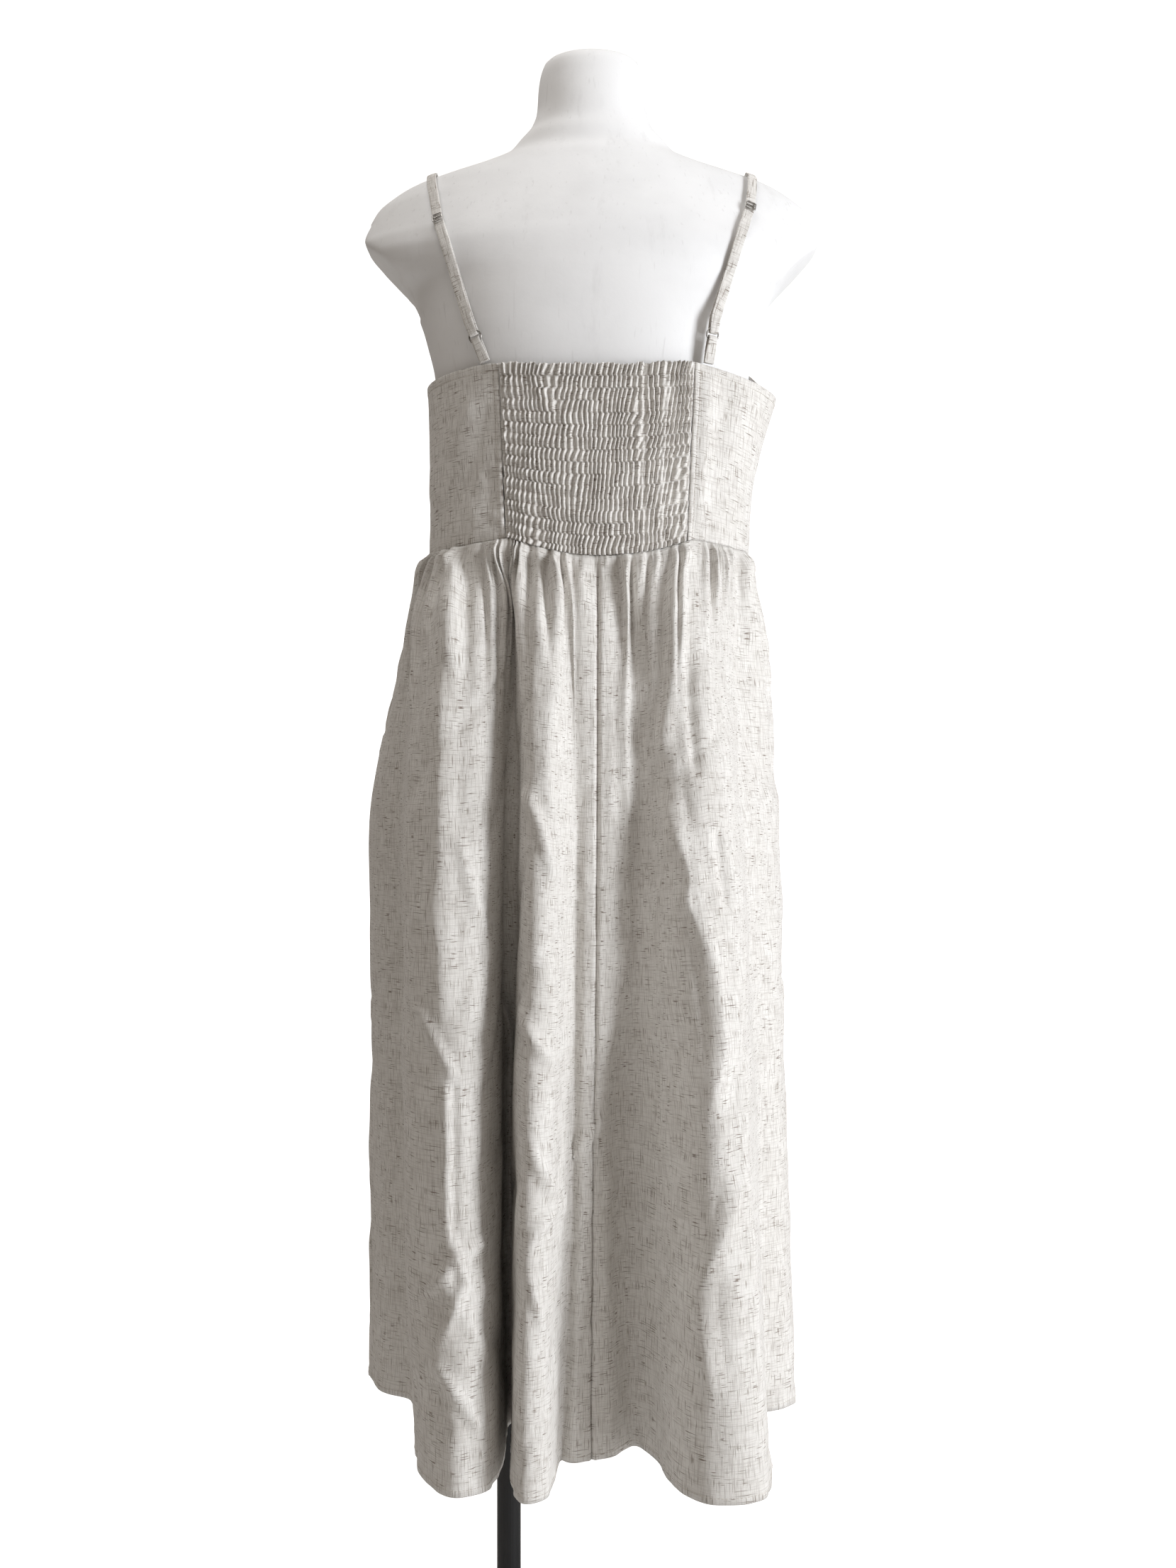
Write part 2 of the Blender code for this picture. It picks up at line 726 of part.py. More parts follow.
for side, ring_mm, slider_mm, shoulder_mm in strap_lines:
    sign = -1.0 if side == "left" else 1.0
    ring_seed = seated(Vector(ring_mm) / 1000.0)
    slider_seed = seated(Vector(slider_mm) / 1000.0)
    shoulder_seed = Vector(shoulder_mm) / 1000.0
    front_seed = Vector((sign * strap_front[0], strap_front[1], strap_front[2]))

    foot_x = -0.0934 if sign < 0 else 0.1014
    foot_top = back_top(foot_x) + 0.0022
    foot_share = back_share(foot_x, foot_top)
    foot = bodice_point(foot_share, foot_top, False)
    foot_out = bodice_normal(foot_share, foot_top, False)
    foot_middle = foot - foot_out * 0.0004

    foot_place, foot_normal, _, _ = form_tree.find_nearest(foot)
    stand_off = max((foot - foot_place).dot(foot_normal), 0.0070)
    ring_centre, ring_out = lift_from_form(ring_seed, stand_off)
    up = (ring_centre - foot_middle).normalized()
    ring_out = (ring_out - up * ring_out.dot(up)).normalized()
    across = up.cross(ring_out).normalized()

    # the ring, a torus lying in the plane of the strap
    tube = 8
    around = 18
    points = []
    faces = []
    for i in range(around):
        turn = 2.0 * math.pi * i / around
        radial = across * math.cos(turn) + up * math.sin(turn)
        for j in range(tube):
            bend = 2.0 * math.pi * j / tube
            points.append(ring_centre + radial * (ring_radius + ring_wire * math.cos(bend))
                          + ring_out * ring_wire * math.sin(bend))
    for i in range(around):
        for j in range(tube):
            a = i * tube + j
            b = ((i + 1) % around) * tube + j
            c = ((i + 1) % around) * tube + (j + 1) % tube
            d = i * tube + (j + 1) % tube
            faces.append((a, b, c))
            faces.append((a, c, d))
    add_body("strap_ring_" + side, points, faces, hardware_look, True)

    # the strap: from the front over the shoulder, down the back, through the ring and up to the slider
    layer = 0.5 * strap_thickness + ring_wire + 0.0008
    stops = [front_seed, Vector((sign * 0.118, 0.070, 1.345)), shoulder_seed, slider_seed]
    outer_layer = []
    outer_face = []
    for point in curve_through(stops, 22):
        lifted, normal = lift_from_form(point, 0.0028 if point.y > 0.02 else 0.0036)
        outer_layer.append(lifted)
        outer_face.append(normal)
    slider_point = outer_layer[-1].copy()
    slider_out = outer_face[-1].copy()
    hang_from = slider_point + slider_out * 0.0006
    turn_at = ring_centre + up * 0.0032
    doubled = 12
    between = []
    for i in range(doubled + 1):
        t = i / doubled
        inside = layer * t + (strap_thickness + gap) * (1.0 - t)
        middle = taut_point(hang_from, turn_at + up * 0.014, turn_at, t, inside + 0.0016)
        between.append((t, middle, slider_out.lerp(ring_out, t).normalized(), inside))
    for t, middle, out, inside in between[1:]:
        outer_layer.append(middle + out * layer * t)
        outer_face.append(out)
    path = list(outer_layer)
    faces_out = list(outer_face)
    half_turn = 7
    for i in range(1, half_turn + 1):
        angle = math.pi * i / (half_turn + 1)
        path.append(turn_at + ring_out * layer * math.cos(angle) - up * layer * math.sin(angle))
        faces_out.append((ring_out * math.cos(angle) - up * math.sin(angle)).normalized())
    for t, middle, out, inside in reversed(between[1:]):
        path.append(middle - out * inside)
        faces_out.append(-out)
    add_band("strap_" + side, path, faces_out, strap_width, strap_thickness, linen_look)

    # the slider, a flat plate with two windows lying on the strap
    slider_up = (shoulder_seed - ring_centre)
    slider_up = (slider_up - slider_out * slider_up.dot(slider_out)).normalized()
    slider_across = slider_up.cross(slider_out).normalized()
    xs = (-0.0050, -0.0038, 0.0038, 0.0050)
    ys = (-0.0050, -0.0038, -0.0007, 0.0007, 0.0038, 0.0050)
    half = 0.0006
    lift = 0.5 * strap_thickness + half + 0.0004
    solid = {(i, j) for i in range(3) for j in range(5) if not (i == 1 and j in (1, 3))}
    numbers = {}
    points = []
    faces = []

    def corner(i, j, k):
        key = (i, j, k)
        if key not in numbers:
            numbers[key] = len(points)
            height = lift + (half if k else -half)
            points.append(slider_point + slider_across * xs[i] + slider_up * ys[j] + slider_out * height)
        return numbers[key]

    for i, j in sorted(solid):
        low_left, low_right = corner(i, j, 0), corner(i + 1, j, 0)
        low_up_left, low_up_right = corner(i, j + 1, 0), corner(i + 1, j + 1, 0)
        high_left, high_right = corner(i, j, 1), corner(i + 1, j, 1)
        high_up_left, high_up_right = corner(i, j + 1, 1), corner(i + 1, j + 1, 1)
        faces.append((high_left, high_right, high_up_right, high_up_left))
        faces.append((low_left, low_up_left, low_up_right, low_right))
        if (i - 1, j) not in solid:
            faces.append((low_left, high_left, high_up_left, low_up_left))
        if (i + 1, j) not in solid:
            faces.append((low_right, low_up_right, high_up_right, high_right))
        if (i, j - 1) not in solid:
            faces.append((low_left, low_right, high_right, high_left))
        if (i, j + 1) not in solid:
            faces.append((low_up_left, high_up_left, high_up_right, low_up_right))
    add_body("strap_slider_" + side, points, faces, hardware_look, False)

    # the tab: a loop through the ring whose two ends stand on the bodice's top edge
    tab_turn = ring_centre - up * 0.0032
    path = []
    faces_out = []
    steps = 5
    for i in range(steps):
        t = i / steps
        out = foot_out.lerp(ring_out, t).normalized()
        spread = (0.5 * strap_thickness + gap) * (1.0 - t) + layer * t
        path.append(foot_middle.lerp(tab_turn, t) + out * spread)
        faces_out.append(out)
    for i in range(half_turn + 2):
        angle = math.pi * i / (half_turn + 1)
        path.append(tab_turn + ring_out * layer * math.cos(angle) + up * layer * math.sin(angle))
        faces_out.append((ring_out * math.cos(angle) + up * math.sin(angle)).normalized())
    for i in range(steps):
        t = 1.0 - (i + 1) / steps
        out = foot_out.lerp(ring_out, t).normalized()
        spread = (0.5 * strap_thickness + gap) * (1.0 - t) + layer * t
        path.append(foot_middle.lerp(tab_turn, t) - out * spread)
        faces_out.append(-out)
    add_band("strap_tab_" + side, path, faces_out, strap_width * 0.96, strap_thickness, linen_look)
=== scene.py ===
import math

import bpy
import numpy as np
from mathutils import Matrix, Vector
from mathutils.bvhtree import BVHTree


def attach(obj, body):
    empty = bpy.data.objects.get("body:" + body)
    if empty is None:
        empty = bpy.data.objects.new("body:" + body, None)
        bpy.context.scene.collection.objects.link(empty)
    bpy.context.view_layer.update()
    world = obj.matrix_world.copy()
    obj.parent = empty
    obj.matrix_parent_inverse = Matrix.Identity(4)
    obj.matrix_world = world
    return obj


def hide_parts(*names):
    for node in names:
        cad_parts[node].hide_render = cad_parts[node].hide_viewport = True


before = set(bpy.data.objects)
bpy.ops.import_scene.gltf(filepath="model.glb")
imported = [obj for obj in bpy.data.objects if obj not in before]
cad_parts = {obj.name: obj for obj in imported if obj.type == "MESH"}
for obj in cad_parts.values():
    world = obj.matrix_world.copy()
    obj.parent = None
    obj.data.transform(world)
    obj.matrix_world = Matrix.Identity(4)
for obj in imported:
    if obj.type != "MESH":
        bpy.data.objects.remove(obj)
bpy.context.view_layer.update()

# The back of the dress faces -Y, where the camera stands; +X is the right of the picture.
# Lengths are metres unless a name ends in mm.


# curves and noise

def softStep(low, high, value):
    share = np.clip((value - low) / (high - low), 0.0, 1.0)
    return share * share * (3.0 - 2.0 * share)


def smoothRows(knots, values, at):
    # a monotone cubic a row, flat at local extremes
    steps = np.diff(knots, axis=1)
    slopes = np.diff(values, axis=1) / steps
    before = 2.0 * steps[:, 1:] + steps[:, :-1]
    after = steps[:, 1:] + 2.0 * steps[:, :-1]
    same = slopes[:, :-1] * slopes[:, 1:] > 0.0
    left = np.where(same, slopes[:, :-1], 1.0)
    right = np.where(same, slopes[:, 1:], 1.0)
    inner = np.where(same, (before + after) / (before / left + after / right), 0.0)
    tangents = np.concatenate([slopes[:, :1], inner, slopes[:, -1:]], axis=1)
    span = (at[:, :, None] >= knots[:, None, 1:-1]).sum(axis=2)
    start = np.take_along_axis(knots, span, axis=1)
    step = np.take_along_axis(steps, span, axis=1)
    t = np.clip((at - start) / step, 0.0, 1.0)
    low = np.take_along_axis(values, span, axis=1)
    high = np.take_along_axis(values, span + 1, axis=1)
    leave = np.take_along_axis(tangents, span, axis=1) * step
    arrive = np.take_along_axis(tangents, span + 1, axis=1) * step
    t2 = t * t
    t3 = t2 * t
    return ((2 * t3 - 3 * t2 + 1) * low + (t3 - 2 * t2 + t) * leave
            + (3 * t2 - 2 * t3) * high + (t3 - t2) * arrive)


def smoothCurve(knots, values, at):
    at = np.asarray(at, float)
    row = smoothRows(np.array([knots], float), np.array([values], float), at.reshape(1, -1))
    return row.reshape(at.shape)


def columnCurves(rows, names):
    heights = [row[0] for row in rows]
    columns = {name: [row[i + 1] for row in rows] for i, name in enumerate(names)}
    return {name: (lambda at, v=values: smoothCurve(heights, v, at)) for name, values in columns.items()}


def clothNoise(u, v, seed):
    # smooth noise from -1 to 1, one cell a unit
    table = np.random.default_rng(seed).uniform(-1.0, 1.0, (64, 64))
    u, v = np.broadcast_arrays(u, v)
    left = np.floor(u).astype(int)
    low = np.floor(v).astype(int)
    across = u - left
    up = v - low
    across = across * across * (3.0 - 2.0 * across)
    up = up * up * (3.0 - 2.0 * up)

    def cell(i, j):
        return table[(left + i) % 64, (low + j) % 64]

    bottom = cell(0, 0) * (1.0 - across) + cell(1, 0) * across
    top = cell(0, 1) * (1.0 - across) + cell(1, 1) * across
    return bottom * (1.0 - up) + top * up


# shader nodes

class Wire:
    def __init__(self, tree, socket=None):
        self.tree = tree
        self.socket = socket

    def node(self, kind, settings=None, sockets=None, out=0):
        made = self.tree.nodes.new(kind)
        for name, value in (settings or {}).items():
            setattr(made, name, value)
        for name, value in (sockets or {}).items():
            if isinstance(value, Wire):
                self.tree.links.new(value.socket, made.inputs[name])
            else:
                made.inputs[name].default_value = value
        return Wire(self.tree, made.outputs[out])

    def math(self, operation, first, second=0.0):
        return self.node("ShaderNodeMath", {"operation": operation}, {0: first, 1: second})

    def __add__(self, other):
        return self.math("ADD", self, other)

    def __sub__(self, other):
        return self.math("SUBTRACT", self, other)

    def __rsub__(self, other):
        return self.math("SUBTRACT", other, self)

    def __mul__(self, other):
        return self.math("MULTIPLY", self, other)

    __radd__ = __add__
    __rmul__ = __mul__

    def rise(self, low, high):
        # 0 below low, 1 above high
        return self.node("ShaderNodeMapRange", {"interpolation_type": "SMOOTHSTEP"},
                         {"Value": self, "From Min": low, "From Max": high})

    def blend(self, first, second):
        # this value as the share of the second colour
        return self.node("ShaderNodeMix", {"data_type": "RGBA"}, {0: self, 6: first, 7: second}, out=2)

    def stretched(self, x, y, z):
        return self.node("ShaderNodeVectorMath", {"operation": "MULTIPLY"}, {0: self, 1: (x, y, z)})

    def speckle(self, scale, detail=2.0, roughness=0.5):
        return self.node("ShaderNodeTexNoise", {"noise_dimensions": "3D"},
                         {"Vector": self, "Scale": scale, "Detail": detail, "Roughness": roughness})


def newMaterial(name):
    material = bpy.data.materials.new(name)
    material.use_nodes = True
    tree = material.node_tree
    shader = tree.nodes["Principled BSDF"]
    return material, Wire(tree), shader


def tone(value):
    # an sRGB colour of 0 to 255 as linear light
    return tuple(c / 12.92 / 255 if c < 11 else ((c / 255 + 0.055) / 1.055) ** 2.4 for c in value) + (1.0,)


print("materials")

linenPlan = {
    "light": (232, 230, 226),
    "ground": (221, 218, 213),
    "grey": (190, 185, 179),
    "fleck": (126, 113, 102),
    "hair": (142, 131, 121),
    "threadPitch": 0.00078,   # warp and weft
    "fleckLength": 0.0120,
    "fleckHeight": 0.00090,
    "bumpDepth": 0.00022,
}


def makeLinen(name, plan):
    material, wire, shader = newMaterial(name)
    place = wire.node("ShaderNodeAttribute", {"attribute_name": "weavePlace"}, out="Vector")
    thread = 1.0 / plan["threadPitch"]

    # cloudy ground and yarns of uneven colour both ways
    cloud = place.speckle(28.0, 3.0, 0.55)
    warp = place.stretched(thread * 0.55, thread * 0.035, 1.0).speckle(1.0, 2.0, 0.6)
    weft = place.stretched(thread * 0.03, thread * 0.55, 1.0).speckle(1.0, 2.0, 0.6)
    color = (cloud.rise(0.30, 0.72) * 0.6 + 0.2).blend(tone(plan["ground"]), tone(plan["light"]))
    color = (warp.rise(0.44, 0.68) * 0.62).blend(color, tone(plan["grey"]))
    color = (weft.rise(0.46, 0.70) * 0.55).blend(color, tone(plan["grey"]))

    # slub flecks along the weft, and short hairs along the warp
    fleck = place.stretched(1.0 / plan["fleckLength"], 1.0 / plan["fleckHeight"], 1.0).speckle(1.0, 0.0, 0.5)
    sparse = place.speckle(60.0, 1.0, 0.5)
    color = (fleck.rise(0.655, 0.74) * sparse.rise(0.42, 0.56) * 0.85).blend(color, tone(plan["fleck"]))
    hair = place.stretched(1.0 / 0.0010, 1.0 / 0.014, 1.0).speckle(1.0, 0.0, 0.5)
    color = (hair.rise(0.665, 0.76) * 0.70).blend(color, tone(plan["hair"]))

    # woven relief: two crossed waves, broken by the yarns' own unevenness
    bands = {"Vector": place, "Scale": thread * 0.159, "Distortion": 1.2, "Detail": 1.0, "Detail Scale": 40.0}
    wave = {"wave_type": "BANDS", "wave_profile": "SIN"}
    up, side = (wire.node("ShaderNodeTexWave", {**wave, "bands_direction": way}, bands, out="Fac")
                for way in ("X", "Y"))
    weave = up * side + warp * 0.9 + weft * 0.9 + fleck.rise(0.66, 0.8) * 0.8
    normal = wire.node("ShaderNodeBump", None,
                       {"Strength": 0.55, "Distance": plan["bumpDepth"], "Height": weave})
    rough = weft * 0.10 + 0.84
    shader.inputs["Sheen Weight"].default_value = 0.12
    shader.inputs["Sheen Roughness"].default_value = 0.6
    shader.inputs["Specular IOR Level"].default_value = 0.25
    wire.tree.links.new(color.socket, shader.inputs["Base Color"])
    wire.tree.links.new(rough.socket, shader.inputs["Roughness"])
    wire.tree.links.new(normal.socket, shader.inputs["Normal"])
    return material


formPlan = {
    "shell": (240, 240, 240),
    "shade": (232, 232, 232),
    "scuff": (190, 188, 187),
}


def makeFormShell(name, plan):
    material, wire, shader = newMaterial(name)
    place = wire.node("ShaderNodeTexCoord", None, None, out="Object")
    cloud = place.speckle(9.0, 4.0, 0.6)
    scuff = place.stretched(34.0, 34.0, 7.0).speckle(1.0, 5.0, 0.7)
    hairline = place.stretched(380.0, 380.0, 7.0).speckle(1.0, 1.0, 0.5)
    color = cloud.rise(0.35, 0.70).blend(tone(plan["shell"]), tone(plan["shade"]))
    color = (scuff.rise(0.56, 0.80) * 0.30).blend(color, tone(plan["scuff"]))
    color = (hairline.rise(0.66, 0.78) * 0.22).blend(color, tone(plan["scuff"]))
    skin = place.speckle(240.0, 3.0, 0.6) + cloud * 0.8
    normal = wire.node("ShaderNodeBump", None, {"Strength": 0.25, "Distance": 0.0004, "Height": skin})
    rough = cloud * 0.2 + 0.52
    wire.tree.links.new(color.socket, shader.inputs["Base Color"])
    wire.tree.links.new(rough.socket, shader.inputs["Roughness"])
    wire.tree.links.new(normal.socket, shader.inputs["Normal"])
    return material


def makeStandBlack(name):
    material, wire, shader = newMaterial(name)
    place = wire.node("ShaderNodeTexCoord", None, None, out="Object")
    grain = place.speckle(900.0, 2.0, 0.6)
    dust = place.stretched(20.0, 20.0, 6.0).speckle(1.0, 4.0, 0.7)
    color = (dust.rise(0.5, 0.9) * 0.4).blend(tone((20, 20, 21)), tone((62, 60, 58)))
    normal = wire.node("ShaderNodeBump", None, {"Strength": 0.3, "Distance": 0.0003, "Height": grain})
    rough = dust * 0.2 + 0.42
    wire.tree.links.new(color.socket, shader.inputs["Base Color"])
    wire.tree.links.new(rough.socket, shader.inputs["Roughness"])
    wire.tree.links.new(normal.socket, shader.inputs["Normal"])
    return material


def makeStrapMetal(name):
    material, wire, shader = newMaterial(name)
    place = wire.node("ShaderNodeTexCoord", None, None, out="Object")
    worn = place.speckle(350.0, 4.0, 0.7)
    color = worn.rise(0.40, 0.72).blend(tone((142, 139, 135)), tone((200, 197, 193)))
    rough = worn * 0.25 + 0.22
    shader.inputs["Metallic"].default_value = 1.0
    wire.tree.links.new(color.socket, shader.inputs["Base Color"])
    wire.tree.links.new(rough.socket, shader.inputs["Roughness"])
    return material


linen = makeLinen("linen_weave", linenPlan)
linenThread = makeLinen("linen_thread", {**linenPlan, "light": (214, 207, 197), "ground": (200, 192, 181)})
formShell = makeFormShell("form_shell_finish", formPlan)
standBlack = makeStandBlack("stand_black_finish")
strapMetal = makeStrapMetal("strap_metal_finish")


# meshes

def finishPiece(name, points, faces, material, replaced=()):
    mesh = bpy.data.meshes.new(name)
    mesh.from_pydata(np.asarray(points).tolist(), [], [list(face) for face in faces])
    mesh.validate()
    mesh.update()
    mesh.shade_smooth()
    mesh.materials.append(material)
    piece = bpy.data.objects.new(name, mesh)
    bpy.context.scene.collection.objects.link(piece)
    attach(piece, "root")
    if replaced:
        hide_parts(*replaced)
    return piece


def setWeavePlace(piece, place):
    # where each point lies on the flat cloth, in metres, for the weave
    layer = piece.data.attributes.new("weavePlace", "FLOAT_VECTOR", "POINT")
    layer.data.foreach_set("vector", np.ascontiguousarray(place, np.float32).ravel())


def gridNormals(grid, looped=False):
    if looped:
        across = np.roll(grid, -1, axis=1) - np.roll(grid, 1, axis=1)
    else:
        across = np.gradient(grid, axis=1)
    up = -np.gradient(grid, axis=0)
    normal = np.cross(across, up)
    return normal / np.maximum(np.linalg.norm(normal, axis=2, keepdims=True), 1e-12)


def clothShell(name, grid, wall, place, replaced):
    # a closed wall from the outer face's rows, top row first; place gives cloth coordinates
    rows, columns = grid.shape[:2]
    inner = grid - gridNormals(grid) * wall
    points = np.concatenate([grid.reshape(-1, 3), inner.reshape(-1, 3)])
    front = np.arange(rows * columns).reshape(rows, columns)
    back = front + rows * columns

    def quads(a, b, c, d):
        return np.stack([a.ravel(), b.ravel(), c.ravel(), d.ravel()], axis=1)

    faces = [
        quads(front[1:, :-1], front[1:, 1:], front[:-1, 1:], front[:-1, :-1]),
        quads(back[:-1, :-1], back[:-1, 1:], back[1:, 1:], back[1:, :-1]),
        quads(front[0, :-1], front[0, 1:], back[0, 1:], back[0, :-1]),
        quads(back[-1, :-1], back[-1, 1:], front[-1, 1:], front[-1, :-1]),
        quads(front[1:, 0], front[:-1, 0], back[:-1, 0], back[1:, 0]),
        quads(back[1:, -1], back[:-1, -1], front[:-1, -1], front[1:, -1]),
    ]
    piece = finishPiece(name, points, np.concatenate(faces), linen, replaced)
    flat = np.concatenate([place, np.zeros(place.shape[:2] + (1,))], axis=2).reshape(-1, 3)
    setWeavePlace(piece, np.concatenate([flat, flat]))
    return piece


def sweep(path, outward, section, closed=False, widths=None):
    # a section of (side, out) points carried along a path; outward is the section's up at each point
    count = len(path)
    points = []
    for i in range(count):
        if closed:
            ahead = path[(i + 1) % count] - path[i - 1]
        else:
            ahead = path[min(i + 1, count - 1)] - path[max(i - 1, 0)]
        ahead = ahead.normalized()
        face = (outward[i] - ahead * outward[i].dot(ahead)).normalized()
        side = ahead.cross(face).normalized()
        spread = widths[i] if widths else 1.0
        points.extend(path[i] + side * s * spread + face * o for s, o in section)
    width = len(section)
    faces = []
    for i in range(count if closed else count - 1):
        low = i * width
        high = ((i + 1) % count) * width
        for c in range(width):
            d = (c + 1) % width
            faces.append((low + c, high + c, high + d, low + d))
    if not closed:
        last = (count - 1) * width
        faces.append(tuple(range(width)))
        faces.append(tuple(last + c for c in reversed(range(width))))
    return points, faces


def roundSection(halfWidth, halfHeight, count, power=2.0):
    section = []
    for i in range(count):
        turn = 2.0 * math.pi * i / count
        c, s = math.cos(turn), math.sin(turn)
        section.append((math.copysign(abs(c) ** (2.0 / power), c) * halfWidth,
                        math.copysign(abs(s) ** (2.0 / power), s) * halfHeight))
    return section


def stitchRow(points, faces, line, normals, plan):
    # one small closed thread a stitch along a line that lies on the cloth
    steps = np.linalg.norm(np.diff(line, axis=0), axis=1)
    along = np.concatenate([[0.0], np.cumsum(steps)])
    count = int(along[-1] / plan["pitch"])
    sides = 6
    profile = ((0.0, 0.30, -0.4), (0.22, 1.0, 0.5), (0.78, 1.0, 0.5), (1.0, 0.30, -0.4))
    for k in range(count):
        start = (k + 0.15) * plan["pitch"]
        base = len(points)
        at = [start + share * plan["length"] for share, _, _ in profile]
        place = np.stack([np.interp(at, along, line[:, axis]) for axis in range(3)], axis=1)
        out = np.stack([np.interp(at, along, normals[:, axis]) for axis in range(3)], axis=1)
        ahead = place[-1] - place[0]
        ahead = ahead / max(np.linalg.norm(ahead), 1e-9)
        for (_, share, lift), centre, up in zip(profile, place, out):
            side = np.cross(ahead, up)
            for j in range(sides):
                turn = 2.0 * math.pi * j / sides
                points.append(centre + up * plan["radius"] * (lift + share * math.sin(turn))
                              + side * plan["radius"] * share * math.cos(turn))
        for r in range(len(profile) - 1):
            for j in range(sides):
                a, b = base + r * sides + j, base + r * sides + (j + 1) % sides
                faces.append((a, a + sides, b + sides, b))
        faces.append(tuple(base + j for j in range(sides)))
        end = base + (len(profile) - 1) * sides
        faces.append(tuple(end + j for j in reversed(range(sides))))


def addStitches(name, rows, plan):
    points = []
    faces = []
    for line, normals in rows:
        stitchRow(points, faces, line, normals, plan)
    piece = finishPiece(name, points, faces, linenThread)
    setWeavePlace(piece, points)
    return piece


# creases seen from the camera

cameraPlan = {
    "place": (-0.0036, -1.4, 0.84),
    "lens": 34.63,
}


def seenPlace(points):
    # where a point shows on the upright plane through the dress's axis, in mm
    reach = 1.0 + points[..., 1] / -cameraPlan["place"][1]
    across = (points[..., 0] - cameraPlan["place"][0]) / reach
    up = cameraPlan["place"][2] + (points[..., 2] - cameraPlan["place"][2]) / reach
    return across * 1000.0, up * 1000.0


def lineReach(across, up, stops):
    # distance to a line of stops, and the share along it
    best = np.full(across.shape, 1e9)
    share = np.zeros(across.shape)
    lengths = [math.dist(a, b) for a, b in zip(stops, stops[1:])]
    whole = sum(lengths)
    gone = 0.0
    for (ax, ay), (bx, by), length in zip(stops, stops[1:], lengths):
        dx, dy = (bx - ax) / length, (by - ay) / length
        along = np.clip((across - ax) * dx + (up - ay) * dy, 0.0, length)
        distance = np.hypot(across - ax - along * dx, up - ay - along * dy)
        closer = distance < best
        best = np.where(closer, distance, best)
        share = np.where(closer, (gone + along) / whole, share)
        gone += length
    return best, share


def creaseRelief(points, creases):
    across, up = seenPlace(points)
    relief = np.zeros(across.shape)
    for shape, height, width, stops in creases:
        distance, share = lineReach(across, up, stops)
        fade = softStep(0.0, 0.14, share) * softStep(0.0, 0.14, 1.0 - share)
        if shape == "fold":       # a sharp ridge or valley with flat flanks
            profile = np.sqrt((1.0 - np.clip(distance / width, 0.0, 1.0)) ** 2 + 0.002) - 0.0447
            profile = np.where(distance < width, profile, 0.0)
        else:                     # a roll: a rounded ridge or valley
            profile = np.exp(-(distance / width) ** 2)
        relief += height * profile * fade
    return relief * 0.001


# the dress form

print("dress form")

# z, half width, front, back, power of the section's outline
formSections = (
    (0.700, 0.150, 0.080, 0.096, 2.2),
    (0.704, 0.156, 0.085, 0.101, 2.2),
    (0.740, 0.162, 0.090, 0.108, 2.2),
    (0.800, 0.165, 0.095, 0.113, 2.2),
    (0.880, 0.154, 0.098, 0.104, 2.2),
    (0.990, 0.122, 0.096, 0.083, 2.2),
    (1.050, 0.128, 0.106, 0.085, 2.2),
    (1.140, 0.140, 0.131, 0.093, 2.3),
    (1.212, 0.1445, 0.120, 0.098, 2.4),
    (1.243, 0.1515, 0.112, 0.101, 2.4),
    (1.266, 0.1586, 0.106, 0.102, 2.3),
    (1.288, 0.170, 0.101, 0.101, 2.1),
    (1.300, 0.192, 0.097, 0.099, 1.95),
    (1.311, 0.210, 0.093, 0.097, 1.85),
    (1.323, 0.219, 0.088, 0.094, 1.8),
    (1.334, 0.218, 0.083, 0.090, 1.75),
    (1.342, 0.214, 0.079, 0.087, 1.7),
    (1.357, 0.2056, 0.071, 0.080, 1.65),
    (1.370, 0.198, 0.064, 0.074, 1.6),
    (1.381, 0.185, 0.059, 0.069, 1.6),
    (1.391, 0.168, 0.054, 0.064, 1.65),
    (1.401, 0.1376, 0.050, 0.059, 1.75),
    (1.408, 0.111, 0.048, 0.056, 1.85),
    (1.420, 0.0800, 0.048, 0.049, 2.0),
    (1.434, 0.0667, 0.050, 0.046, 2.0),
    (1.446, 0.0564, 0.052, 0.042, 2.0),
    (1.461, 0.0510, 0.055, 0.040, 2.0),
    (1.485, 0.0492, 0.058, 0.036, 2.0),
    (1.505, 0.0440, 0.056, 0.031, 2.0),
    (1.511, 0.0360, 0.048, 0.024, 2.0),
    (1.513, 0.0260, 0.037, 0.016, 2.0),
)
formAt = columnCurves(formSections, ("half", "front", "back", "power"))

formShape = {
    "columns": 144,
    "rows": 210,
    "bottom": 0.700,
    "neckTop": 1.513,
    "stumpZ": (1.266, 1.288, 1.300, 1.311, 1.3236, 1.334, 1.342, 1.350, 1.357),
    "stumpHalf": (0.1586, 0.1676, 0.1745, 0.1846, 0.1977, 0.2078, 0.2103, 0.2088, 0.2056),
    "stumpRound": 0.0035,
    "rowCrowding": 0.045,     # rows stand closer together round the shoulder
    # rows added at the edges of the two ends
    "edgeRows": (0.7005, 0.7012, 0.702, 1.5125, 1.512, 1.5115, 1.5105),
}


def signedPower(value, power):
    return np.sign(value) * np.abs(value) ** power


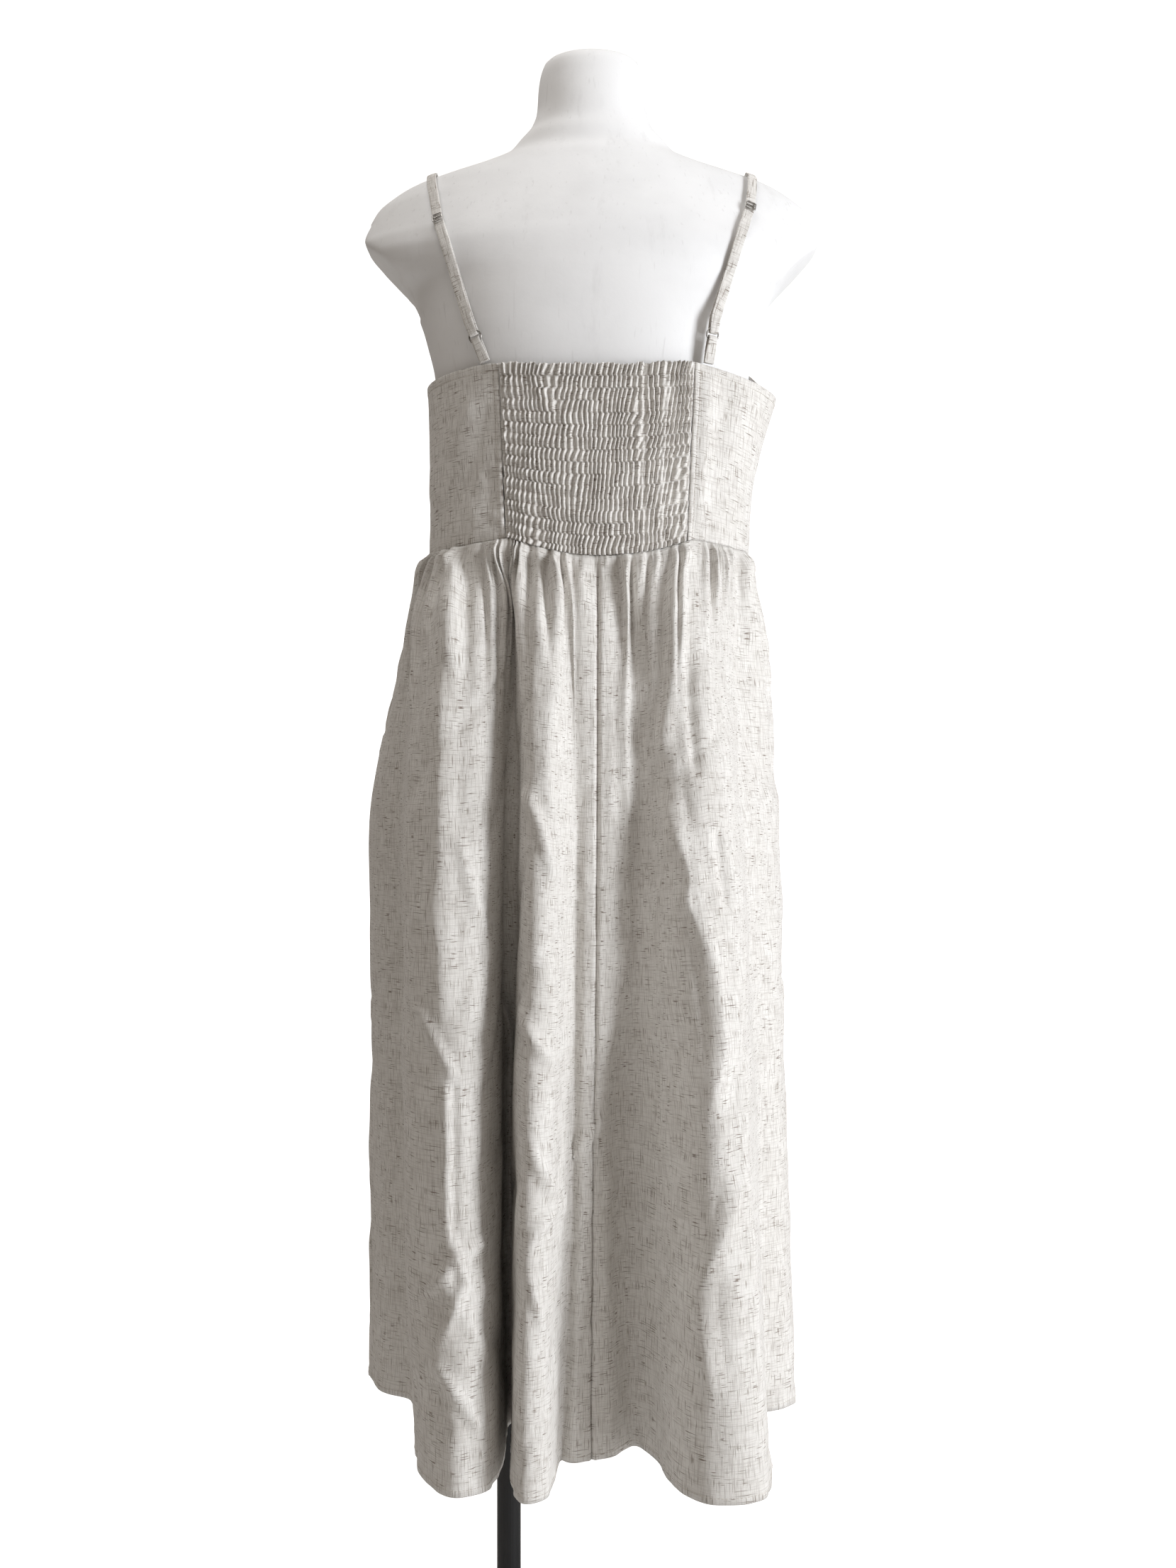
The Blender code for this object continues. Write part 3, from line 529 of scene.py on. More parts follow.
def makeForm(plan):
    rows, columns = plan["rows"], plan["columns"]
    t = np.linspace(0.0, 1.0, rows)
    crowd = plan["rowCrowding"]
    t = t + crowd * np.sin(2.0 * np.pi * (t - 0.25)) + crowd
    z = plan["bottom"] + (plan["neckTop"] - plan["bottom"]) * t
    z = np.unique(np.clip(np.concatenate([z, plan["edgeRows"]]), plan["bottom"], plan["neckTop"]))
    angle = 2.0 * np.pi * np.arange(columns) / columns
    half = formAt["half"](z)[:, None]
    power = formAt["power"](z)[:, None]
    x = signedPower(np.cos(angle)[None, :], 2.0 / power) * half
    depth = np.where(np.sin(angle)[None, :] < 0.0, formAt["back"](z)[:, None], formAt["front"](z)[:, None])
    y = signedPower(np.sin(angle)[None, :], 2.0 / power) * depth
    limit = smoothCurve(plan["stumpZ"], plan["stumpHalf"], z)[:, None]
    limit = np.where((z > plan["stumpZ"][0]) & (z < plan["stumpZ"][-1]), limit[:, 0], 9.0)[:, None]
    bend = plan["stumpRound"]
    over = np.abs(x) - limit
    rounded = limit + 0.5 * (over - np.sqrt(over ** 2 + bend ** 2))
    x = np.sign(x) * np.where(limit < 1.0, rounded, np.abs(x))
    grid = np.stack([x, y, np.broadcast_to(z[:, None], x.shape)], axis=2)
    count = len(z)
    points = grid.reshape(-1, 3).tolist()
    index = np.arange(count * columns).reshape(count, columns)
    nextIndex = np.roll(index, -1, axis=1)
    faces = np.stack([index[:-1].ravel(), nextIndex[:-1].ravel(), nextIndex[1:].ravel(), index[1:].ravel()],
                     axis=1).tolist()
    for row, flip in ((0, True), (count - 1, False)):
        centre = len(points)
        points.append(grid[row].mean(axis=0).tolist())
        for i in range(columns):
            a, b = int(index[row, i]), int(nextIndex[row, i])
            faces.append((b, a, centre) if flip else (a, b, centre))
    return finishPiece("form_shell", points, faces, formShell, ("dress_form",))


makeForm(formShape)
for nodeName in ("stand_pole", "stand_base"):
    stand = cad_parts[nodeName]
    for i in range(max(len(stand.material_slots), 1)):
        if len(stand.material_slots) == 0:
            stand.data.materials.append(standBlack)
        stand.material_slots[i].material = standBlack


# the bodice

print("bodice")

# z, left, right, back, front
bodiceSections = (
    (1.030, 0.1503, 0.1450, 0.0955, 0.117),
    (1.054, 0.1500, 0.1450, 0.0955, 0.121),
    (1.100, 0.1490, 0.1470, 0.0975, 0.137),
    (1.150, 0.1500, 0.1570, 0.1005, 0.1415),
    (1.200, 0.1515, 0.1700, 0.1035, 0.130),
    (1.248, 0.1590, 0.1640, 0.1065, 0.120),
    (1.285, 0.1700, 0.1690, 0.108, 0.1115),
)
bodiceAt = columnCurves(bodiceSections, ("left", "right", "back", "front"))

bodicePlan = {
    "power": 2.3,
    "wall": 0.0011,
    "sideSeamHeight": 1.048,
    "shirringCorner": 1.054,
    "shirringCentre": 1.0376,
    "shirringMiddle": 0.0080,
    "shirringHalfSpan": 0.0797,
    "waistGap": 0.0002,
    "hemFold": 0.0065,        # top edges are turned and stitched this far down
    "seamStitch": 0.0058,     # stitches this far from the shirring's side seams
}


def ringTable():
    # the half rings at many heights, read at even shares of their length
    heights = np.linspace(1.026, 1.286, 131)
    shares = np.linspace(0.0, 1.0, 481)
    table = {}
    for front in (False, True):
        grid = np.zeros((len(heights), len(shares), 2))
        for row, height in enumerate(heights):
            angle = (0.0 if front else np.pi) + np.pi * np.linspace(0.0, 1.0, 385)
            cosine = np.cos(angle)
            half = np.where(cosine < 0.0, bodiceAt["left"](height), bodiceAt["right"](height))
            depth = bodiceAt["front"](height) if front else bodiceAt["back"](height)
            x = signedPower(cosine, 2.0 / bodicePlan["power"]) * half
            y = (1.0 if front else -1.0) * np.abs(np.sin(angle)) ** (2.0 / bodicePlan["power"]) * depth
            lengths = np.concatenate([[0.0], np.cumsum(np.hypot(np.diff(x), np.diff(y)))])
            grid[row, :, 0] = np.interp(shares * lengths[-1], lengths, x)
            grid[row, :, 1] = np.interp(shares * lengths[-1], lengths, y)
        table[front] = grid
    return heights, table


ringHeights, rings = ringTable()


def bodicePoints(share, height, front):
    share, height = np.broadcast_arrays(share, height)
    grid = rings[front]
    row = np.clip((height - ringHeights[0]) / (ringHeights[1] - ringHeights[0]), 0.0, grid.shape[0] - 1.001)
    column = np.clip(share * (grid.shape[1] - 1), 0.0, grid.shape[1] - 1.001)
    r = row.astype(int)
    c = column.astype(int)
    down = (row - r)[..., None]
    across = (column - c)[..., None]
    flat = ((grid[r, c] * (1 - across) + grid[r, c + 1] * across) * (1 - down)
            + (grid[r + 1, c] * (1 - across) + grid[r + 1, c + 1] * across) * down)
    return np.concatenate([flat, height[..., None]], axis=-1)


def backShare(x, height):
    x, height = np.broadcast_arrays(x, height)
    low = np.zeros(x.shape)
    high = np.ones(x.shape)
    for _ in range(22):
        middle = 0.5 * (low + high)
        under = bodicePoints(middle, height, False)[..., 0] < x
        low = np.where(under, middle, low)
        high = np.where(under, high, middle)
    return 0.5 * (low + high)


def seamHeight(x):
    plan = bodicePlan
    reach = np.abs(x - plan["shirringMiddle"]) / plan["shirringHalfSpan"]
    under = plan["shirringCentre"] + (plan["shirringCorner"] - plan["shirringCentre"]) * reach ** 2
    fall = np.minimum((reach - 1.0) / 0.75, 1.0)
    return np.where(reach < 1.0, under,
                    plan["shirringCorner"] + (plan["sideSeamHeight"] - plan["shirringCorner"]) * fall)


def backTop(x):
    reach = np.abs(x) / 0.090
    fall = np.where(x < 0.0, 0.0045, 0.0125)
    return np.where(reach < 1.0, 1.2012 + 0.0043 * reach ** 2,
                    1.2055 - fall * np.minimum((np.abs(x) - 0.090) / 0.07, 1.0))


def frontTop(share):
    side = np.minimum(share, 1.0 - share)
    corner = 1.201 - 0.008 * (1.0 - softStep(0.0, 0.20, share))
    armhole = corner + 0.071 * np.sin(0.5 * np.pi * np.minimum(side / 0.30, 1.0)) ** 1.5
    neck = 1.272 - 0.026 * np.sin(0.5 * np.pi * np.clip((side - 0.30) / 0.16, 0.0, 1.0)) ** 1.5
    return np.where(side < 0.30, armhole, neck)


def shirringEdge(side, height):
    fall = (1.205 - height) / 0.155
    return (-0.0810 + 0.0060 * fall) if side < 0 else (0.0886 - 0.0060 * fall)


def backPanel(across, down, first, last):
    # first and last: None at a side seam, or the shirred panel's side and a distance from it
    height = np.full(np.broadcast(across, down).shape, 1.2)
    for _ in range(5):
        left = 0.0006 if first is None else backShare(shirringEdge(first[0], height) + first[1], height)
        right = 0.9994 if last is None else backShare(shirringEdge(last[0], height) + last[1], height)
        share = left + (right - left) * across
        x = bodicePoints(share, height, False)[..., 0]
        top = backTop(x)
        bottom = seamHeight(x) + 0.5 * bodicePlan["waistGap"]
        height = top + (bottom - top) * down
    return share, height


def gridLengths(grid):
    # distances along the rows and down the columns of a grid
    across = np.linalg.norm(np.diff(grid, axis=1), axis=2)
    down = np.linalg.norm(np.diff(grid, axis=0), axis=2)
    return (np.concatenate([np.zeros((grid.shape[0], 1)), np.cumsum(across, axis=1)], axis=1),
            np.concatenate([np.zeros((1, grid.shape[1])), np.cumsum(down, axis=0)], axis=0))


# shape, height in mm, width in mm, then stops on the seen plane in mm, top first
leftBackCreases = (
    ("fold", 2.2, 14, ((-105, 1203), (-121, 1162), (-135, 1126), (-142, 1096))),
    ("roll", -1.4, 7, ((-92, 1196), (-100, 1160), (-112, 1122), (-124, 1090))),
    ("roll", 1.6, 6, ((-86, 1140), (-80, 1118), (-84, 1092), (-78, 1074))),
    ("roll", -1.5, 5, ((-92, 1134), (-88, 1112), (-90, 1090))),
    ("roll", 1.2, 8, ((-118, 1110), (-104, 1086), (-98, 1066))),
)
rightBackCreases = (
    ("roll", 2.2, 8, ((113, 1232), (110, 1180), (106, 1120), (102, 1074))),
    ("roll", -1.6, 9, ((127, 1226), (124, 1180), (118, 1130), (112, 1086))),
    ("roll", 1.3, 10, ((146, 1220), (142, 1170), (134, 1120), (128, 1080))),
    ("roll", -1.0, 7, ((140, 1150), (128, 1116), (124, 1080))),
)


def edgeRelief(distance, fold):
    # a turned edge: thicker to the stitch line, and pressed in along it
    thick = 0.00035 * (1.0 - softStep(fold - 0.0006, fold + 0.0006, distance))
    groove = -0.00045 * np.exp(-((distance - fold) / 0.0009) ** 2)
    return thick + groove


def makeBackPanel(name, node, columns, rows, first, last, creases, seed):
    across = np.linspace(0.0, 1.0, columns + 1)[None, :]
    down = np.linspace(0.0, 1.0, rows + 1)[:, None]
    share, height = backPanel(across, down, first, last)
    grid = bodicePoints(share, height, False)
    along, fall = gridLengths(grid)
    normals = gridNormals(grid)
    relief = creaseRelief(grid, creases)
    relief += 0.0005 * clothNoise(along * 32.0, fall * 22.0, seed)
    relief += 0.00022 * clothNoise(along * 110, fall * 80, seed + 1)
    held = softStep(0.0, 0.018, fall) * softStep(0.0, 0.012, fall[-1:] - fall)
    relief *= 0.15 + 0.85 * held
    # small tucks that the gathered waist pulls into the panel
    pull = 1.0 - softStep(0.004, 0.034, fall[-1:] - fall)
    relief += 0.0006 * pull * clothNoise(along * 130.0, fall * 12.0, seed + 2)
    relief += edgeRelief(fall, bodicePlan["hemFold"])
    # the seam beside the shirring: turned edge, then its row of stitches
    inner = along if first is not None else along[:, -1:] - along
    relief += 0.0009 * np.exp(-((inner - 0.0022) / 0.0018) ** 2)
    relief -= 0.0004 * np.exp(-((inner - bodicePlan["seamStitch"]) / 0.0012) ** 2)
    grid = grid + normals * relief[..., None]
    place = np.stack([along, -fall], axis=2) + (0.3 * seed)
    piece = clothShell(name, grid, bodicePlan["wall"], place, (node,))
    normals = gridNormals(grid)
    hemRow = int(np.argmin(np.abs(fall[:, columns // 2] - bodicePlan["hemFold"])))
    seamColumn = int(np.argmin(np.abs(inner[rows // 2] - bodicePlan["seamStitch"])))
    stitchLines = [(grid[hemRow], normals[hemRow]), (grid[:, seamColumn], normals[:, seamColumn])]
    return piece, stitchLines


backLeft, leftStitches = makeBackPanel("cloth_back_left", "bodice_back_left", 66, 96,
                                       None, (-1, -0.00025), leftBackCreases, 3)
backRight, rightStitches = makeBackPanel("cloth_back_right", "bodice_back_right", 66, 96,
                                         (1, 0.00025), None, rightBackCreases, 5)

# the front, with bust fullness drawn into the waist seam
frontPlan = {"columns": 250, "rows": 120, "tucks": 26}


def makeFront(plan):
    across = np.linspace(0.0, 1.0, plan["columns"] + 1)[None, :]
    down = np.linspace(0.0, 1.0, plan["rows"] + 1)[:, None]
    share = 0.0006 + 0.9988 * across
    top = frontTop(share)
    bottom = bodicePlan["sideSeamHeight"] + 0.5 * bodicePlan["waistGap"]
    height = top + (bottom - top) * down
    share = np.broadcast_to(share, height.shape)
    grid = bodicePoints(share, height, True)
    along, fall = gridLengths(grid)
    normals = gridNormals(grid)
    rise = fall[-1:] - fall
    relief = 0.0006 * clothNoise(along * 26.0, fall * 18.0, 11)
    relief += 0.00025 * clothNoise(along * 90, fall * 70, 12)
    length = 0.035 + 0.030 * clothNoise(along * 45.0, 0.0, 13)
    pull = 1.0 - softStep(0.0, 1.0, rise / length)
    relief += 0.0016 * pull * (0.5 + 0.5 * np.cos(2.0 * np.pi * plan["tucks"] * share
                                                 + 1.5 * clothNoise(share * 9.0, rise * 20.0, 14)))
    relief *= 0.2 + 0.8 * softStep(0.0, 0.02, fall)
    relief += edgeRelief(fall, bodicePlan["hemFold"])
    grid = grid + normals * relief[..., None]
    place = np.stack([along, -fall], axis=2) + 2.1
    piece = clothShell("cloth_front", grid, bodicePlan["wall"], place, ("bodice_front",))
    normals = gridNormals(grid)
    hemRow = np.argmin(np.abs(fall - bodicePlan["hemFold"]), axis=0)
    columns = np.arange(plan["columns"] + 1)
    return piece, [(grid[hemRow, columns], normals[hemRow, columns])]


bodiceFront, frontStitches = makeFront(frontPlan)

print("shirred panel")

shirringPlan = {
    "ridges": 38,
    "elasticRows": 15,
    "heading": 0.0095,
    "ridgeHeight": 0.0046,
    "columns": 266,
    "rows": 180,
    "darkColumn": 0.755,     # an open, deeper furrow beside the middle right
    "flatColumn": 0.845,     # cloth drawn flat between two furrows
}


def makeShirring(plan):
    across = np.linspace(0.0, 1.0, plan["columns"] + 1)[None, :]
    down = np.linspace(0.0, 1.0, plan["rows"] + 1)[:, None]
    share, height = backPanel(across, down, (-1, 0.00025), (1, -0.00025))
    grid = bodicePoints(share, height, False)
    along, fall = gridLengths(grid)
    normals = gridNormals(grid)
    pitch = (fall[-1:] - plan["heading"]) / (plan["elasticRows"] - 0.35)
    band = (fall - plan["heading"]) / pitch           # whole numbers lie on an elastic row
    band = band + 0.10 * clothNoise(along * 14.0, 0.0, 20)
    puff = np.where(band < 0.0, 1.0, 0.5 - 0.5 * np.cos(2.0 * np.pi * band))
    heading = softStep(0.0, -0.75, band)
    u = np.broadcast_to(across, band.shape)

    # each elastic row holds the ridges anew, so they lean and step aside from band to band
    row = np.floor(band)
    part = band - row
    lean = 0.30 + 0.55 * clothNoise(u * 5.0, row * 7.3, 21)
    step = 0.42 * clothNoise(u * 8.0, row * 5.1, 22)
    before = 0.42 * clothNoise(u * 8.0, (row - 1.0) * 5.1, 22)
    leanBefore = 0.30 + 0.55 * clothNoise(u * 5.0, (row - 1.0) * 7.3, 21)
    join = softStep(0.0, 0.16, part)
    drift = (before + leanBefore * 0.5) * (1.0 - join) + (step + lean * (part - 0.5)) * join
    drift = drift + 0.8 * clothNoise(u * 9.0, band * 0.22, 27)
    phase = plan["ridges"] * u + drift
    ridge = (0.5 - 0.5 * np.cos(2.0 * np.pi * phase)) ** 0.75
    size = 0.95 + 0.40 * clothNoise(phase, row * 0.9 + part * 0.25, 23)
    body = ridge * size * (0.52 + 0.48 * puff)
    furrow = np.exp(-((u - plan["darkColumn"] - 0.010 * clothNoise(0.0, band * 0.5, 25)) / 0.012) ** 2)
    body *= 1.0 - 0.80 * furrow
    flat = np.exp(-((u - plan["flatColumn"] - 0.008 * clothNoise(0.0, band * 0.4, 28)) / 0.016) ** 2)
    body = body * (1.0 - 0.75 * flat) + 0.62 * flat
    body *= 1.0 + 0.15 * heading
    relief = plan["ridgeHeight"] * body - 0.0005 * (1.0 - puff) * (band > -0.4)
    relief += 0.0012 * heading * np.clip(-band, 0.0, 1.0)
    ends = softStep(0.0, 0.0030, along) * softStep(0.0, 0.0030, along[:, -1:] - along)
    relief = relief * (0.30 + 0.70 * ends)
    # the free heading edge stands a little up and down between the ridges
    wobble = 0.0012 * heading * clothNoise(phase, 0.0, 26)
    grid = grid + normals * relief[..., None]
    grid[..., 2] += wobble
    place = np.stack([along * 1.9, -fall], axis=2) + 4.4
    piece = clothShell("cloth_shirred", grid, 0.0009, place, ("bodice_back_shirred",))
    normals = gridNormals(grid)
    lines = []
    columns = np.arange(plan["columns"] + 1)
    for k in range(plan["elasticRows"]):
        at = np.argmin(np.abs(band - k), axis=0)
        lines.append((grid[at, columns], normals[at, columns]))
    return piece, lines


shirred, elasticLines = makeShirring(shirringPlan)

# the skirt

print("skirt")

# gather, x in mm at the waist seam, at z 0.97, 0.80, 0.52 and the hem, and y in mm at the hem
backLines = (
    (0.0, -150, -172, -211, -214, -219, 69),
    (1.5, -146, -165, -195, -196, -198, 22),
    (2.5, -142, -158, -173, -172, -171, 6),
    (6.5, -134, -150, -158, -157, -144, -144),
    (8.0, -120, -126, -120, -115, -108, -190),
    (8.5, -112, -111, -105, -100, -92, -184),
    (9.0, -100, -98, -93, -90, -81, -173),
    (10.0, -90, -86, -82, -82, -76, -139),
    (11.0, -82, -78, -77, -79, -75, -106),
    (12.0, -77, -73, -74, -78, -76, -59),
    (12.5, -72, -67, -68, -73, -72, -46),
    (16.0, -60, -57, -57, -63, -66, -171),
    (16.5, -53, -51, -51, -57, -60, -196),
    (17.0, -46, -44, -43, -48, -51, -200),
    (17.5, -37, -35, -33, -36, -37, -190),
    (18.5, -27, -25, -23, -26, -31, -150),
    (19.5, -17, -16, -13, -16, -26, -118),
    (20.0, -7, -7, -5, -8, -17, -127),
    (20.5, 5, 5, 4, 1, -1, -118),
    (21.0, 13, 14, 14, 12, 17, -115),
    (21.5, 21, 23, 24, 19, 28, -98),
    (22.0, 28, 30, 31, 28, 35, -92),
    (22.5, 35, 37, 37, 40, 43, -96),
    (23.0, 43, 44, 46, 56, 55, -122),
    (24.0, 55, 53, 56, 68, 61, -152),
    (24.5, 62, 60, 63, 78, 70, -178),
    (25.0, 70, 67, 73, 92, 90, -198),
    (26.0, 80, 77, 87, 106, 116, -201),
    (26.5, 90, 90, 103, 122, 139, -191),
    (27.5, 101, 103, 118, 133, 147, -166),
    (31.0, 121, 125, 140, 153, 154, -24),
    (31.5, 128, 135, 151, 163, 170, -18),
    (32.0, 136, 147, 163, 176, 188, -4),
    (33.0, 145.0, 160, 175, 183, 193, 26),
)

# gather, place round the ring in degrees from +X, and the share of the full reach at the hem
frontLines = (
    (33.0, 8, 1.00),
    (34.5, 20, 0.86),
    (35.5, 27, 1.02),
    (37.0, 35, 0.66),
    (39.0, 45, 1.03),
    (40.5, 52, 0.68),
    (42.0, 63, 1.00),
    (43.5, 73, 0.70),
    (45.5, 85, 1.02),
    (47.0, 96, 0.66),
    (48.5, 107, 1.00),
    (50.0, 118, 0.72),
    (52.0, 129, 1.03),
    (53.5, 139, 0.68),
    (55.0, 149, 1.00),
    (57.0, 162, 1.00),
)

# z, left half width, right half width, depth at the back, depth at the front, fold growth
skirtSections = (
    (0.2665, 0.219, 0.198, 0.165, 0.178, 1.00),
    (0.52, 0.214, 0.183, 0.160, 0.165, 0.86),
    (0.80, 0.211, 0.175, 0.145, 0.140, 0.50),
    (0.97, 0.172, 0.160, 0.112, 0.122, 0.22),
    (1.045, 0.1503, 0.1450, 0.0955, 0.1195, 0.0),
)
skirtAt = columnCurves(skirtSections, ("left", "right", "back", "front", "growth"))

skirtPlan = {
    "backGathers": 33,
    "frontGathers": 24,
    "centreBack": 20.5,
    "hem": 0.2665,
    "levels": (0.2665, 0.52, 0.80, 0.97),
    "perGather": 12,
    "rows": 170,
    "wall": 0.0010,
    "clothPerGather": 0.040,   # flat width that each gather takes up
    "rounding": 2.2,           # columns over which the folds are rounded
    "hemFold": 0.0072,
    "valleyGather": 21.8,      # the valley right of the centre back, and the fold beyond it
    "foldGather": 25.2,
    "ease": 0.011,             # how much shallower the two are between waist and knee
}

backKnots = [row[0] for row in backLines]
frontKnots = [row[0] for row in frontLines]


def backHang(gather, top, height):
    # gather, and top's points, one a column; height one a column and row
    levels = [smoothCurve(backKnots, [row[c] / 1000.0 for row in backLines], gather) for c in (5, 4, 3, 2)]
    across = np.stack(levels + [top[:, 0]], axis=1)
    knots = np.stack([np.full(len(gather), z) for z in skirtPlan["levels"]] + [top[:, 2]], axis=1)
    x = smoothRows(knots, across, height)
    half = np.where(x < 0.0, skirtAt["left"](height), skirtAt["right"](height))
    edge = np.minimum(np.abs(x) / half, 1.0)
    ringY = -skirtAt["back"](height) * (1.0 - edge ** bodicePlan["power"]) ** (1.0 / bodicePlan["power"])
    hemY = smoothCurve(backKnots, [row[6] / 1000.0 for row in backLines], gather)[:, None]
    y = ringY + (hemY - ringY) * skirtAt["growth"](height)
    upper = softStep(0.56, 0.68, height) * (1.0 - softStep(0.90, 0.98, height))
    y = y - skirtPlan["ease"] * np.exp(-((gather[:, None] - skirtPlan["valleyGather"]) / 1.1) ** 2) * upper
    y = y + skirtPlan["ease"] * np.exp(-((gather[:, None] - skirtPlan["foldGather"]) / 1.3) ** 2) * upper
    settle = softStep(0.985, top[:, 2:3], height)
    return x, y + (top[:, 1:2] - y) * settle


def frontHang(gather, top, height):
    growth = skirtAt["growth"](height)
    angle = smoothCurve(frontKnots, [math.radians(row[1]) for row in frontLines], gather)[:, None]
    reach = smoothCurve(frontKnots, [row[2] for row in frontLines], gather)[:, None]
    reach = 1.0 + (reach - 1.0) * growth
    half = np.where(np.cos(angle) < 0.0, skirtAt["left"](height), skirtAt["right"](height))
    x = np.cos(angle) * half * reach
    y = np.sin(angle) * skirtAt["front"](height) * reach
    settle = softStep(0.80, top[:, 2:3], height)
    return x + (top[:, 0:1] - x) * settle, y + (top[:, 1:2] - y) * settle


def waistPoints(gather):
    onBack = np.minimum(gather, skirtPlan["backGathers"])
    x = smoothCurve(backKnots, [row[1] / 1000.0 for row in backLines], onBack)
    height = seamHeight(x)
    back = bodicePoints(backShare(x, height), height, False)
    share = np.clip((gather - skirtPlan["backGathers"]) / skirtPlan["frontGathers"], 0.0, 1.0)
    front = bodicePoints(share, np.full(share.shape, bodicePlan["sideSeamHeight"]), True)
    return np.where((gather <= skirtPlan["backGathers"])[:, None], back, front)


def clearOfForm(x, y, height):
    hold = softStep(0.615, 0.688, height)
    level = np.maximum(height, 0.704)
    power = formAt["power"](level)
    wide = formAt["half"](level) + 0.006
    deep = np.where(y < 0.0, formAt["back"](level), formAt["front"](level)) + 0.006
    reach = ((np.abs(x) / wide) ** power + (np.abs(y) / deep) ** power) ** (1.0 / power)
    push = np.where(reach < 1.0, 1.0 + (1.0 / np.maximum(reach, 0.2) - 1.0) * hold, 1.0)
    return x * push, y * push


def skirtGrid(plan):
    # the whole skirt as one loop of columns, (rows, columns, 3), and each column's gather
    whole = plan["backGathers"] + plan["frontGathers"]
    gather = np.arange(whole * plan["perGather"]) / plan["perGather"]
    top = waistPoints(gather)
    down = np.linspace(0.0, 1.0, plan["rows"] + 1) ** 1.12
    start = top[:, 2] - 0.5 * bodicePlan["waistGap"]
    height = start[:, None] + (plan["hem"] - start)[:, None] * down[None, :]
    isBack = gather <= plan["backGathers"]
    x = np.zeros(height.shape)
    y = np.zeros(height.shape)
    x[isBack], y[isBack] = backHang(gather[isBack], top[isBack], height[isBack])
    isFront = ~isBack
    fx, fy = frontHang(gather[isFront], top[isFront], height[isFront])
    for seamGather, frontEnd in ((plan["backGathers"], plan["backGathers"]), (0.0, whole)):
        count = int(isFront.sum())
        near = 1.0 - softStep(0.0, 2.5, np.abs(gather[isFront] - frontEnd))[:, None]
        seamTop = np.repeat(waistPoints(np.array([float(seamGather)])), count, axis=0)
        seamX, seamY = backHang(np.full(count, float(seamGather)), seamTop, height[isFront])
        endX, endY = frontHang(np.full(count, float(frontEnd)), seamTop, height[isFront])
        fx += (seamX - endX) * near
        fy += (seamY - endY) * near
    x[isFront], y[isFront] = fx, fy
    x, y = clearOfForm(x, y, height)
    grid = np.stack([x, y, height], axis=2).transpose(1, 0, 2)
    # rounds the folds along the cloth
    reach = int(plan["rounding"] * 3)
    weights = np.exp(-0.5 * (np.arange(-reach, reach + 1) / plan["rounding"]) ** 2)
    weights /= weights.sum()
    rounded = sum(w * np.roll(grid, k, axis=1) for k, w in zip(range(-reach, reach + 1), weights))
    keep = (1.0 - softStep(0.0, 0.05, down))[:, None, None]
    rounded[..., 2] = grid[..., 2]
    return rounded * (1.0 - keep) + grid * keep, gather, down


